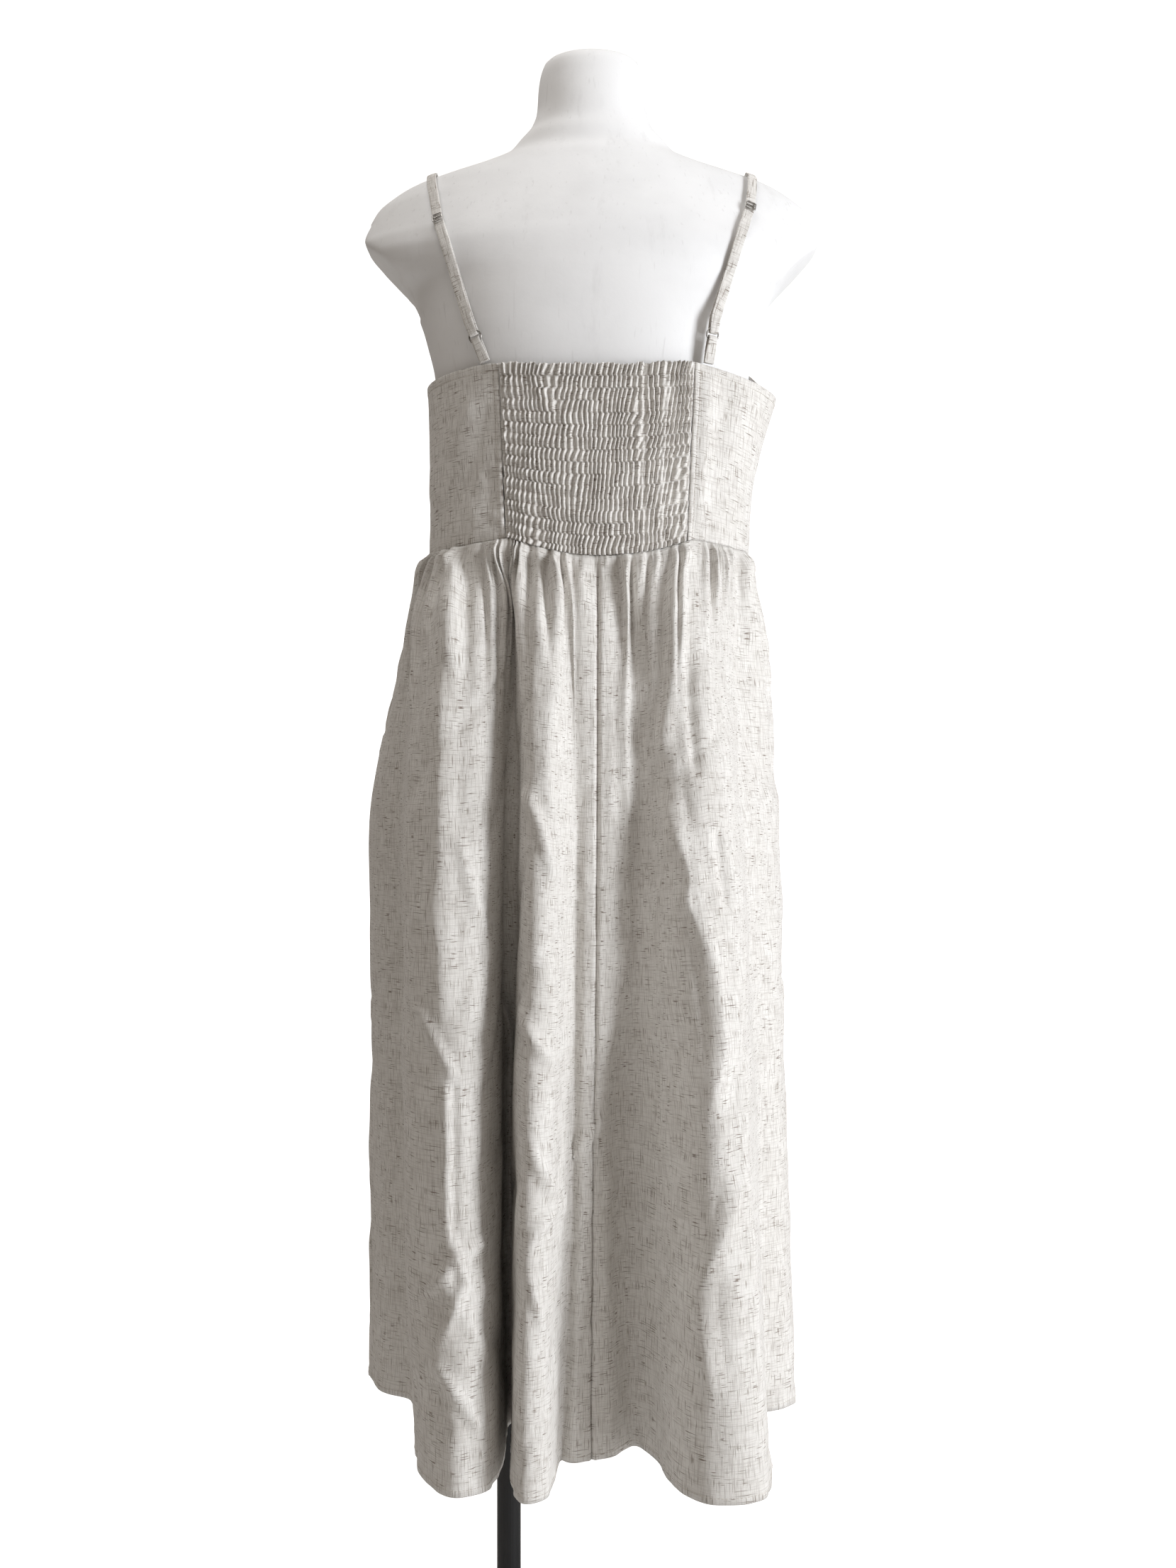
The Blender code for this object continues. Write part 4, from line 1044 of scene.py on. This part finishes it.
# shape, height in mm, width in mm, then stops on the seen plane in mm, top first
skirtCreases = (
    # fold A
    ("fold", 5.0, 17, ((-126, 1046), (-134, 935), (-137, 837), (-137, 756), (-141, 726), (-136, 683),
                       (-137, 600))),
    ("roll", 3.0, 6, ((-107, 1054), (-123, 985), (-126, 943))),
    ("fold", 2.6, 10, ((-123, 800), (-114, 763), (-95, 704), (-88, 660))),
    ("fold", 2.6, 7, ((-133, 575), (-131, 500), (-131, 403), (-128, 360))),
    ("roll", -2.2, 4, ((-125, 575), (-124, 500), (-124, 410))),
    ("fold", 2.6, 12, ((-151, 403), (-120, 350), (-79, 294))),
    ("fold", 2.0, 10, ((-84, 390), (-116, 338), (-148, 300))),
    ("roll", -2.0, 6, ((-154, 985), (-160, 900), (-158, 820))),
    ("roll", 1.6, 9, ((-150, 760), (-158, 640), (-156, 520))),
    ("fold", 6.0, 9, ((-91, 420), (-123, 397), (-155, 362))),
    ("fold", 5.5, 8, ((-129, 424), (-114, 379), (-129, 338), (-146, 309))),
    ("fold", 6.0, 9, ((-146, 309), (-122, 272), (-98, 238))),
    ("roll", -3.0, 4, ((-146, 284), (-128, 232))),
    ("fold", 4.6, 8, ((-160, 640), (-142, 600), (-120, 560))),
    ("fold", 5.2, 9, ((-70, 640), (-50, 600), (-30, 575))),
    ("fold", 6.0, 9, ((-56, 504), (-38, 470), (-22, 436))),
    ("fold", 5.2, 8, ((-60, 405), (-38, 436), (-18, 464))),
    ("fold", 4.8, 8, ((-54, 380), (-46, 352), (-38, 328))),
    ("fold", 4.2, 8, ((-18, 490), (2, 515), (18, 537))),
    ("fold", 5.0, 9, ((-62, 840), (-44, 800), (-30, 745))),
    # fold B and the centre back
    ("fold", 2.4, 9, ((-9, 1056), (-9, 1031), (-14, 994), (-14, 935), (-13, 837), (-15, 760))),
    ("roll", 2.2, 6, ((-50, 1010), (-34, 930), (-38, 850), (-28, 770))),
    ("roll", 1.8, 5, ((-2, 1040), (-9, 1026), (-2, 1012), (-8, 1000))),
    ("roll", -1.6, 4, ((4, 1042), (-3, 1030), (4, 1016))),
    ("roll", 2.0, 8, ((-40, 690), (-28, 600), (-30, 500), (-24, 400))),
    ("fold", 1.8, 9, ((20, 760), (8, 690), (12, 600), (4, 520))),
    ("roll", 2.0, 6, ((22, 500), (14, 430), (18, 360), (10, 300))),
    # the second valley
    ("fold", 3.0, 8, ((33, 1052), (32, 998), (34, 889), (35, 844), (38, 748), (38, 712), (33, 668),
                      (28, 614))),
    # fold C
    ("roll", 4.4, 7, ((75, 1061), (83, 975), (76, 910), (66, 857))),
    ("roll", -4.2, 6, ((87, 1054), (92, 975), (94, 910), (102, 837))),
    ("roll", -2.4, 4, ((119, 1028), (121, 950), (119, 870))),
    ("roll", -1.8, 12, ((148, 1041), (149, 936))),
    ("fold", 6.5, 17, ((65, 850), (76, 814), (90, 773), (96, 752), (93, 732), (108, 697), (117, 668),
                       (121, 639), (125, 589), (119, 561), (108, 516))),
    ("fold", 5.5, 16, ((145, 490), (140, 469), (132, 436), (121, 412), (105, 371), (105, 350),
                       (115, 285), (117, 262))),
    ("roll", -3.2, 5, ((121, 803), (125, 756), (131, 718))),
    ("fold", 2.6, 8, ((133, 680), (135, 644), (146, 548), (146, 481), (154, 385), (160, 285), (161, 262))),
    ("roll", 2.2, 8, ((78, 700), (66, 620), (72, 540), (60, 460))),
    ("roll", -1.8, 7, ((92, 640), (82, 560), (88, 480))),
)

seamPlan = {
    "depth": 0.0016,
    "width": 0.0013,
    "lip": 0.0009,
}


# heights of the skirt's small forms
reliefPlan = {
    "tuck": 0.0026,
    "gather": 0.0074,
    "broad": 0.0042,
    "crumple": 0.0015,
    "smallCrumple": 0.0007,
    "crease": 0.0021,
    "pucker": 0.0011,
}


def skirtRelief(grid, gather, down, plan):
    normals = gridNormals(grid, looped=True)
    drop = down[:, None] * 0.78                       # metres under the waist seam
    g = gather[None, :]
    isBack = (g <= plan["backGathers"]) * 1.0
    whole = plan["backGathers"] + plan["frontGathers"]
    turn = 2.0 * np.pi * g / whole

    # a loop that closes on itself, for noise round the skirt
    def loopNoise(cells, rise, seed):
        u = 3.0 * cells * (1.0 + np.cos(turn)) / 2.0
        w = 3.0 * cells * (1.0 + np.sin(turn)) / 2.0
        return 0.7 * (clothNoise(u, w + rise, seed) + clothNoise(w, u + rise, seed + 1))

    wander = 0.22 * loopNoise(9.0, drop * 6.0, 31) * softStep(0.0, 0.03, drop)
    size = 1.0 + 0.75 * clothNoise(g * 0.9, drop * 5.0, 33)
    reach = 0.135 + 0.090 * clothNoise(g * 0.8, 0.0, 34)
    # narrow tucks, held tight by the seam, that run out at uneven lengths
    fine = 1.0 - (0.5 - 0.5 * np.cos(2.0 * np.pi * (2.0 * g + 0.45 * loopNoise(11.0, drop * 9.0, 35)))) ** 3
    fineReach = 0.040 + 0.032 * clothNoise(g * 1.7, 0.0, 29)
    main = 1.0 - (0.5 - 0.5 * np.cos(2.0 * np.pi * (g + wander))) ** 1.7
    broad = 0.5 + 0.5 * np.cos(np.pi * (g + 1.5 * wander) + 2.0 * loopNoise(5.0, drop * 2.0, 36))
    atSeam = 0.35 + 0.65 * softStep(0.0, 0.010, drop)
    nearSide = np.exp(-(np.minimum(g, np.abs(g - plan["backGathers"])) / 1.3) ** 2)
    atSide = 1.0 - 0.85 * nearSide * (1.0 - softStep(0.02, 0.13, drop))
    relief = reliefPlan["tuck"] * fine * (1.0 - softStep(0.15, 1.0, drop / fineReach)) * atSeam
    relief += reliefPlan["gather"] * main * size * (1.0 - softStep(0.10, 1.0, drop / reach)) * atSeam * atSide
    fade = (1.0 - softStep(0.03, 0.22, drop)) * softStep(0.0, 0.02, drop)
    relief += reliefPlan["broad"] * broad * fade * atSide

    # creases that the camera sees, on cloth turned to it
    facing = softStep(0.04, 0.45, -normals[..., 1]) * isBack
    relief += creaseRelief(grid, skirtCreases) * facing

    # soft crumples everywhere
    along, _ = gridLengths(grid)
    relief += reliefPlan["crumple"] * clothNoise(along * 22.0, drop * 11.0, 37) * softStep(0.02, 0.12, drop)
    small = clothNoise(along * 60.0, drop * 34.0, 38)
    relief += reliefPlan["smallCrumple"] * small * softStep(0.01, 0.08, drop)
    # creases pressed into the cloth, thin and long
    pressed = np.abs(clothNoise(along * 13.0 + drop * 5.0, drop * 6.0 - along * 4.0, 40))
    relief -= reliefPlan["crease"] * (1.0 - np.minimum(pressed * 3.2, 1.0)) ** 2 * softStep(0.03, 0.14, drop)

    # hem: a folded edge, drawn up a little between the stitches
    rise = (1.0 - down[:, None]) * 0.775
    relief += edgeRelief(rise, plan["hemFold"]) * 1.3
    pucker = np.exp(-((rise - plan["hemFold"]) / 0.010) ** 2)
    relief += reliefPlan["pucker"] * pucker * clothNoise(along * 95.0 + rise * 60.0, rise * 40.0, 39)
    return grid + normals * relief[..., None]


def readColumns(grid, places, plan):
    # the loop's grid at any gathers, between its columns
    at = places * plan["perGather"]
    low = np.floor(at).astype(int)
    t = (at - low)[None, :, None]
    columns = grid.shape[1]
    return grid[:, low % columns] * (1.0 - t) + grid[:, (low + 1) % columns] * t


def makeSkirt(plan):
    grid, gather, down = skirtGrid(plan)
    grid = skirtRelief(grid, gather, down, plan)
    loopNormals = gridNormals(grid, looped=True)
    whole = plan["backGathers"] + plan["frontGathers"]
    panels = (
        ("cloth_skirt_left", "skirt_back_left", 0.0, plan["centreBack"]),
        ("cloth_skirt_right", "skirt_back_right", plan["centreBack"], float(plan["backGathers"])),
        ("cloth_skirt_front", "skirt_front", float(plan["backGathers"]), float(whole)),
    )
    pieces = {}
    hemLines = []
    for name, node, first, last in panels:
        count = int(round((last - first) * plan["perGather"]))
        even = first + np.arange(count + 1) / plan["perGather"]
        extra = np.array([0.03, 0.055])
        places = np.unique(np.concatenate([even, first + extra, last - extra]))
        panel = readColumns(grid, places, plan)
        outward = readColumns(loopNormals, places, plan)
        along, _ = gridLengths(panel)
        fromEdge = np.minimum(along, along[:, -1:] - along)
        lip = seamPlan["lip"] * np.exp(-((fromEdge - 0.0034) / 0.0020) ** 2)
        groove = -seamPlan["depth"] * np.exp(-(fromEdge / seamPlan["width"]) ** 2)
        settle = softStep(0.0, 0.03, down)[:, None]
        panel = panel + outward * ((lip + groove) * settle)[..., None]
        drop = np.broadcast_to(down[:, None] * 0.78, along.shape)
        width = np.broadcast_to(places[None, :] * plan["clothPerGather"], along.shape)
        place = np.stack([width, -drop], axis=2) + 7.0
        pieces[node] = clothShell(name, panel, plan["wall"], place, (node,))
        normals = gridNormals(panel)
        row = int(np.argmin(np.abs((1.0 - down) * 0.775 - plan["hemFold"])))
        hemLines.append((panel[row], normals[row]))
        print(name, "hem", round(float(along[-1, -1]), 3), "waist", round(float(along[0, -1]), 3))
    return pieces, hemLines


skirtPieces, hemLines = makeSkirt(skirtPlan)

print("stitches")

stitchPlan = {"pitch": 0.0031, "length": 0.0023, "radius": 0.00024}
elasticStitch = {"pitch": 0.0029, "length": 0.0024, "radius": 0.00026}
addStitches("stitches_bodice", leftStitches + rightStitches + frontStitches, stitchPlan)
addStitches("stitches_shirring", elasticLines, elasticStitch)
addStitches("stitches_hem", hemLines, stitchPlan)

print("straps")

strapPlan = {
    "width": 0.0092,
    "thickness": 0.0012,
    "ringRadius": 0.0056,
    "ringWire": 0.0008,
    "gap": 0.0003,
    "turnStep": 0.0032,
    "frontPlace": (0.0935, 0.1030, 1.2735),
    "overFront": (0.118, 0.070, 1.345),
    "frontLift": 0.0028,      # the strap's middle over the form
    "backLift": 0.0036,
    "clear": 0.0016,
    "kneeRise": 0.012,
    "doubledSteps": 24,
    "turnSteps": 9,
    "footX": {"left": -0.0934, "right": 0.1014},
}

# side, then x, y, z in mm of the ring, the slider and the top of the shoulder
strapLines = (
    ("left", (-99.0, -112, 1230.0), (-135.4, -62, 1339.0), (-144.0, -8, 1393.0)),
    ("right", (100.5, -114, 1231.5), (139.6, -52, 1352.5), (142.0, -8, 1391.0)),
)

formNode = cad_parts["dress_form"]
formTree = BVHTree.FromPolygons([v.co.copy() for v in formNode.data.vertices],
                                [tuple(p.vertices) for p in formNode.data.polygons])


def nearForm(point):
    place, normal, _, _ = formTree.find_nearest(point)
    return place, normal


def liftFromForm(point, offset):
    place, normal = nearForm(point)
    return place + normal * offset, normal


def seated(seed):
    # moved along Y to the back of the form
    struck, _, _, _ = formTree.ray_cast(Vector((seed.x, -1.0, seed.z)), Vector((0.0, 1.0, 0.0)))
    return struck


def tautPoint(start, knee, end, share, least):
    # on the straight lines through three points, or over the form where it stands in the way
    kneeShare = (knee - start).length / ((knee - start).length + (end - knee).length)
    if share >= kneeShare:
        return knee.lerp(end, (share - kneeShare) / (1.0 - kneeShare))
    point = start.lerp(knee, share / kneeShare)
    struck, normal, _, _ = formTree.ray_cast(Vector((point.x, -1.0, point.z)), Vector((0.0, 1.0, 0.0)))
    if struck is not None:
        point.y = min(point.y, struck.y + least / min(normal.y, -0.35))
    return point


def curveThrough(stops, count):
    lengths = [0.0]
    for a, b in zip(stops, stops[1:]):
        lengths.append(lengths[-1] + (b - a).length)
    at = np.linspace(0.0, lengths[-1], count)
    axes = [smoothCurve(lengths, [stop[axis] for stop in stops], at) for axis in range(3)]
    return [Vector((axes[0][i], axes[1][i], axes[2][i])) for i in range(count)]


def finePath(path, outward, step):
    # the same path with points at an even step
    points = np.array([tuple(p) for p in path])
    ways = np.array([tuple(p) for p in outward])
    along = np.concatenate([[0.0], np.cumsum(np.linalg.norm(np.diff(points, axis=0), axis=1))])
    at = np.linspace(0.0, along[-1], max(int(along[-1] / step), 4))
    fine = np.stack([smoothCurve(along, points[:, axis], at) for axis in range(3)], axis=1)
    face = np.stack([np.interp(at, along, ways[:, axis]) for axis in range(3)], axis=1)
    return [Vector(p) for p in fine], [Vector(p).normalized() for p in face], at


def addStrap(name, node, path, outward, width, thickness, seed, narrow):
    # narrow: the ring's centre, where the strap is drawn in
    path, outward, at = finePath(path, outward, 0.0016)
    section = roundSection(width * 0.5, thickness * 0.5, 20, 3.2)
    widths = [1.0 - 0.14 * math.exp(-((p - narrow).length / 0.009) ** 2) for p in path]
    points, faces = sweep(path, outward, section, widths=widths)
    place = [(s, length, 0.0) for length in at for s, _ in section]
    piece = finishPiece(name, points, faces, linen, (node,))
    setWeavePlace(piece, np.array(place) + 9.0 + seed * 0.1)
    return piece


def makeStrap(side, ringSeed, sliderSeed, shoulderSeed, plan, seed):
    sign = -1.0 if side == "left" else 1.0
    ringSeed, sliderSeed, shoulderSeed = (Vector(v) / 1000.0 for v in (ringSeed, sliderSeed, shoulderSeed))
    ringSeed, sliderSeed = seated(ringSeed), seated(sliderSeed)
    frontSeed = Vector((sign * plan["frontPlace"][0],) + plan["frontPlace"][1:])
    overFront = Vector((sign * plan["overFront"][0],) + plan["overFront"][1:])
    footX = plan["footX"][side]
    footTop = float(backTop(footX)) + 0.0022
    footShare = backShare(np.array([footX]), np.array([footTop]))
    foot = Vector(bodicePoints(footShare, np.array([footTop]), False)[0])

    def ringNear(share, up):
        return Vector(bodicePoints(footShare + share, np.array([footTop + up]), False)[0])

    footOut = (ringNear(0.01, 0.0) - ringNear(-0.01, 0.0)).cross(ringNear(0.0, 0.004) - ringNear(0.0, -0.004))
    footOut.normalize()
    footMiddle = foot - footOut * 0.0004
    footPlace, footNormal = nearForm(foot)
    standOff = max((foot - footPlace).dot(footNormal), 0.0070)
    ringCentre, ringOut = liftFromForm(ringSeed, standOff)
    up = (ringCentre - footMiddle).normalized()
    ringOut = (ringOut - up * ringOut.dot(up)).normalized()
    across = up.cross(ringOut).normalized()

    ringPath = []
    around = 40
    for i in range(around):
        turn = 2.0 * math.pi * i / around
        ringPath.append(ringCentre + (across * math.cos(turn) + up * math.sin(turn)) * plan["ringRadius"])
    points, faces = sweep(ringPath, [ringOut] * around, roundSection(plan["ringWire"], plan["ringWire"], 12),
                          closed=True)
    finishPiece("ring_" + side, points, faces, strapMetal, ("strap_ring_" + side,))

    thickness, gap = plan["thickness"], plan["gap"]
    layer = 0.5 * thickness + plan["ringWire"] + 0.0008
    outer = []
    outerFace = []
    for point in curveThrough([frontSeed, overFront, shoulderSeed, sliderSeed], 48):
        lifted, normal = liftFromForm(point, plan["frontLift"] if point.y > 0.02 else plan["backLift"])
        outer.append(lifted)
        outerFace.append(normal)
    sliderPoint, sliderOut = outer[-1].copy(), outerFace[-1].copy()
    turnAt = ringCentre + up * plan["turnStep"]
    doubled = plan["doubledSteps"]
    between = []
    hangFrom = sliderPoint + sliderOut * 0.0006
    for i in range(doubled + 1):
        t = i / doubled
        inside = layer * t + (thickness + gap) * (1.0 - t)
        middle = tautPoint(hangFrom, turnAt + up * plan["kneeRise"], turnAt, t, inside + plan["clear"])
        between.append((t, middle, sliderOut.lerp(ringOut, t).normalized(), inside))
    for t, middle, out, inside in between[1:]:
        outer.append(middle + out * layer * t)
        outerFace.append(out)
    path = list(outer)
    face = list(outerFace)
    halfTurn = plan["turnSteps"]
    for i in range(1, halfTurn + 1):
        angle = math.pi * i / (halfTurn + 1)
        path.append(turnAt + ringOut * layer * math.cos(angle) - up * layer * math.sin(angle))
        face.append((ringOut * math.cos(angle) - up * math.sin(angle)).normalized())
    for t, middle, out, inside in reversed(between[1:]):
        path.append(middle - out * inside)
        face.append(-out)
    addStrap("strap_band_" + side, "strap_" + side, path, face, plan["width"], thickness, seed,
             ringCentre)

    sliderUp = shoulderSeed - ringCentre
    sliderUp = (sliderUp - sliderOut * sliderUp.dot(sliderOut)).normalized()
    sliderAcross = sliderUp.cross(sliderOut).normalized()
    lift = 0.5 * thickness + 0.0010
    centre = sliderPoint + sliderOut * lift
    framePath = []
    reach, corner, steps = 0.0044, 0.0012, 6
    for quarter, (cx, cy) in enumerate(((1, 1), (-1, 1), (-1, -1), (1, -1))):
        for i in range(steps + 1):
            turn = 0.5 * math.pi * (quarter + i / steps)
            x = cx * (reach - corner) + corner * math.cos(turn)
            y = cy * (reach - corner) + corner * math.sin(turn)
            framePath.append(centre + sliderAcross * x + sliderUp * y)
    wire = roundSection(0.00060, 0.00058, 12, 2.6)
    points, faces = sweep(framePath, [sliderOut] * len(framePath), wire, closed=True)
    barPath = [centre + sliderAcross * x for x in np.linspace(-reach, reach, 7)]
    barPoints, barFaces = sweep(barPath, [sliderOut] * 7, roundSection(0.00070, 0.00055, 12, 2.6))
    faces = list(faces) + [tuple(len(points) + i for i in f) for f in barFaces]
    finishPiece("slider_" + side, [tuple(p) for p in points + barPoints], faces, strapMetal,
                ("strap_slider_" + side,))

    tabTurn = ringCentre - up * plan["turnStep"]
    path = []
    face = []
    steps = 6
    for i in range(steps):
        t = i / steps
        out = footOut.lerp(ringOut, t).normalized()
        path.append(footMiddle.lerp(tabTurn, t) + out * ((0.5 * thickness + gap) * (1.0 - t) + layer * t))
        face.append(out)
    for i in range(halfTurn + 2):
        angle = math.pi * i / (halfTurn + 1)
        path.append(tabTurn + ringOut * layer * math.cos(angle) + up * layer * math.sin(angle))
        face.append((ringOut * math.cos(angle) + up * math.sin(angle)).normalized())
    for i in range(steps):
        t = 1.0 - (i + 1) / steps
        out = footOut.lerp(ringOut, t).normalized()
        path.append(footMiddle.lerp(tabTurn, t) - out * ((0.5 * thickness + gap) * (1.0 - t) + layer * t))
        face.append(-out)
    addStrap("tab_" + side, "strap_tab_" + side, path, face, plan["width"], thickness, seed + 1, ringCentre)


for seed, (side, ringMm, sliderMm, shoulderMm) in enumerate(strapLines):
    makeStrap(side, ringMm, sliderMm, shoulderMm, strapPlan, 2 * seed + 1)

print("studio")

studioPlan = {
    "keyPlace": (2.30, -1.38, 1.24),
    "keySize": (0.8, 1.6),
    "keyPower": 71.0,
    "keyColor": (0.97, 1.0, 1.045),
    "fillColor": (1.0, 0.86, 0.72),
    "fillStrength": 0.196,
    "topPlace": (-0.45, -0.25, 2.75),
    "topSize": 1.5,
    "topPower": 17.0,
    "paperGlow": 0.75,       # what the camera sees of the paper over its own light
}


def makeStudio(plan):
    # floor and wall in one sweep
    rows = [(y, -0.0005) for y in np.linspace(-3.0, 1.6, 8)]
    for i in range(1, 11):
        turn = 0.5 * math.pi * i / 10
        rows.append((1.6 + 0.8 * math.sin(turn), 0.8 - 0.8 * math.cos(turn) - 0.0005))
    rows.append((2.4, 4.5))
    points = [(x, y, z) for y, z in rows for x in (-4.0, 4.0)]
    faces = [(2 * i, 2 * i + 1, 2 * i + 3, 2 * i + 2) for i in range(len(rows) - 1)]
    mesh = bpy.data.meshes.new("studio_sweep")
    mesh.from_pydata(points, [], faces)
    mesh.shade_smooth()
    paperSweep = bpy.data.objects.new("studio_sweep", mesh)
    bpy.context.scene.collection.objects.link(paperSweep)
    material, wire, shader = newMaterial("studio_paper")
    place = wire.node("ShaderNodeTexCoord", None, None, out="Object")
    paper = place.speckle(2.0, 2.0, 0.5).rise(0.3, 0.7).blend(tone((238, 237, 235)), tone((243, 242, 241)))
    wire.tree.links.new(paper.socket, shader.inputs["Base Color"])
    shader.inputs["Roughness"].default_value = 0.9
    seen = wire.node("ShaderNodeLightPath", out="Is Camera Ray")
    shader.inputs["Emission Color"].default_value = (1.0, 1.0, 1.0, 1.0)
    wire.tree.links.new((seen * plan["paperGlow"]).socket, shader.inputs["Emission Strength"])
    mesh.materials.append(material)

    light = bpy.data.lights.new("key", "AREA")
    light.shape = "RECTANGLE"
    light.size, light.size_y = plan["keySize"]
    light.energy = plan["keyPower"]
    light.color = plan["keyColor"]
    key = bpy.data.objects.new("key", light)
    key.location = plan["keyPlace"]
    aim = Vector((0.0, 0.0, 0.85)) - Vector(plan["keyPlace"])
    key.rotation_euler = aim.to_track_quat("-Z", "Y").to_euler()
    bpy.context.scene.collection.objects.link(key)

    light = bpy.data.lights.new("top", "AREA")
    light.shape = "DISK"
    light.size = plan["topSize"]
    light.energy = plan["topPower"]
    top = bpy.data.objects.new("top", light)
    top.location = plan["topPlace"]
    bpy.context.scene.collection.objects.link(top)

    world = bpy.data.worlds.new("studio")
    world.use_nodes = True
    sky = Wire(world.node_tree)
    background = world.node_tree.nodes["Background"]
    seen = sky.node("ShaderNodeLightPath", out="Is Camera Ray")
    color = seen.blend((*plan["fillColor"], 1.0), (1.0, 1.0, 1.0, 1.0))
    strength = seen * (1.0 - plan["fillStrength"]) + plan["fillStrength"]
    world.node_tree.links.new(color.socket, background.inputs["Color"])
    world.node_tree.links.new(strength.socket, background.inputs["Strength"])
    bpy.context.scene.world = world


makeStudio(studioPlan)
bpy.context.scene.view_settings.view_transform = "Standard"

camera = bpy.data.objects.new("camera", bpy.data.cameras.new("camera"))
camera.data.lens = cameraPlan["lens"]
camera.data.sensor_width = 36.0
camera.location = cameraPlan["place"]
camera.rotation_euler = (math.pi / 2.0, 0.0, 0.0)
bpy.context.scene.collection.objects.link(camera)
bpy.context.scene.camera = camera
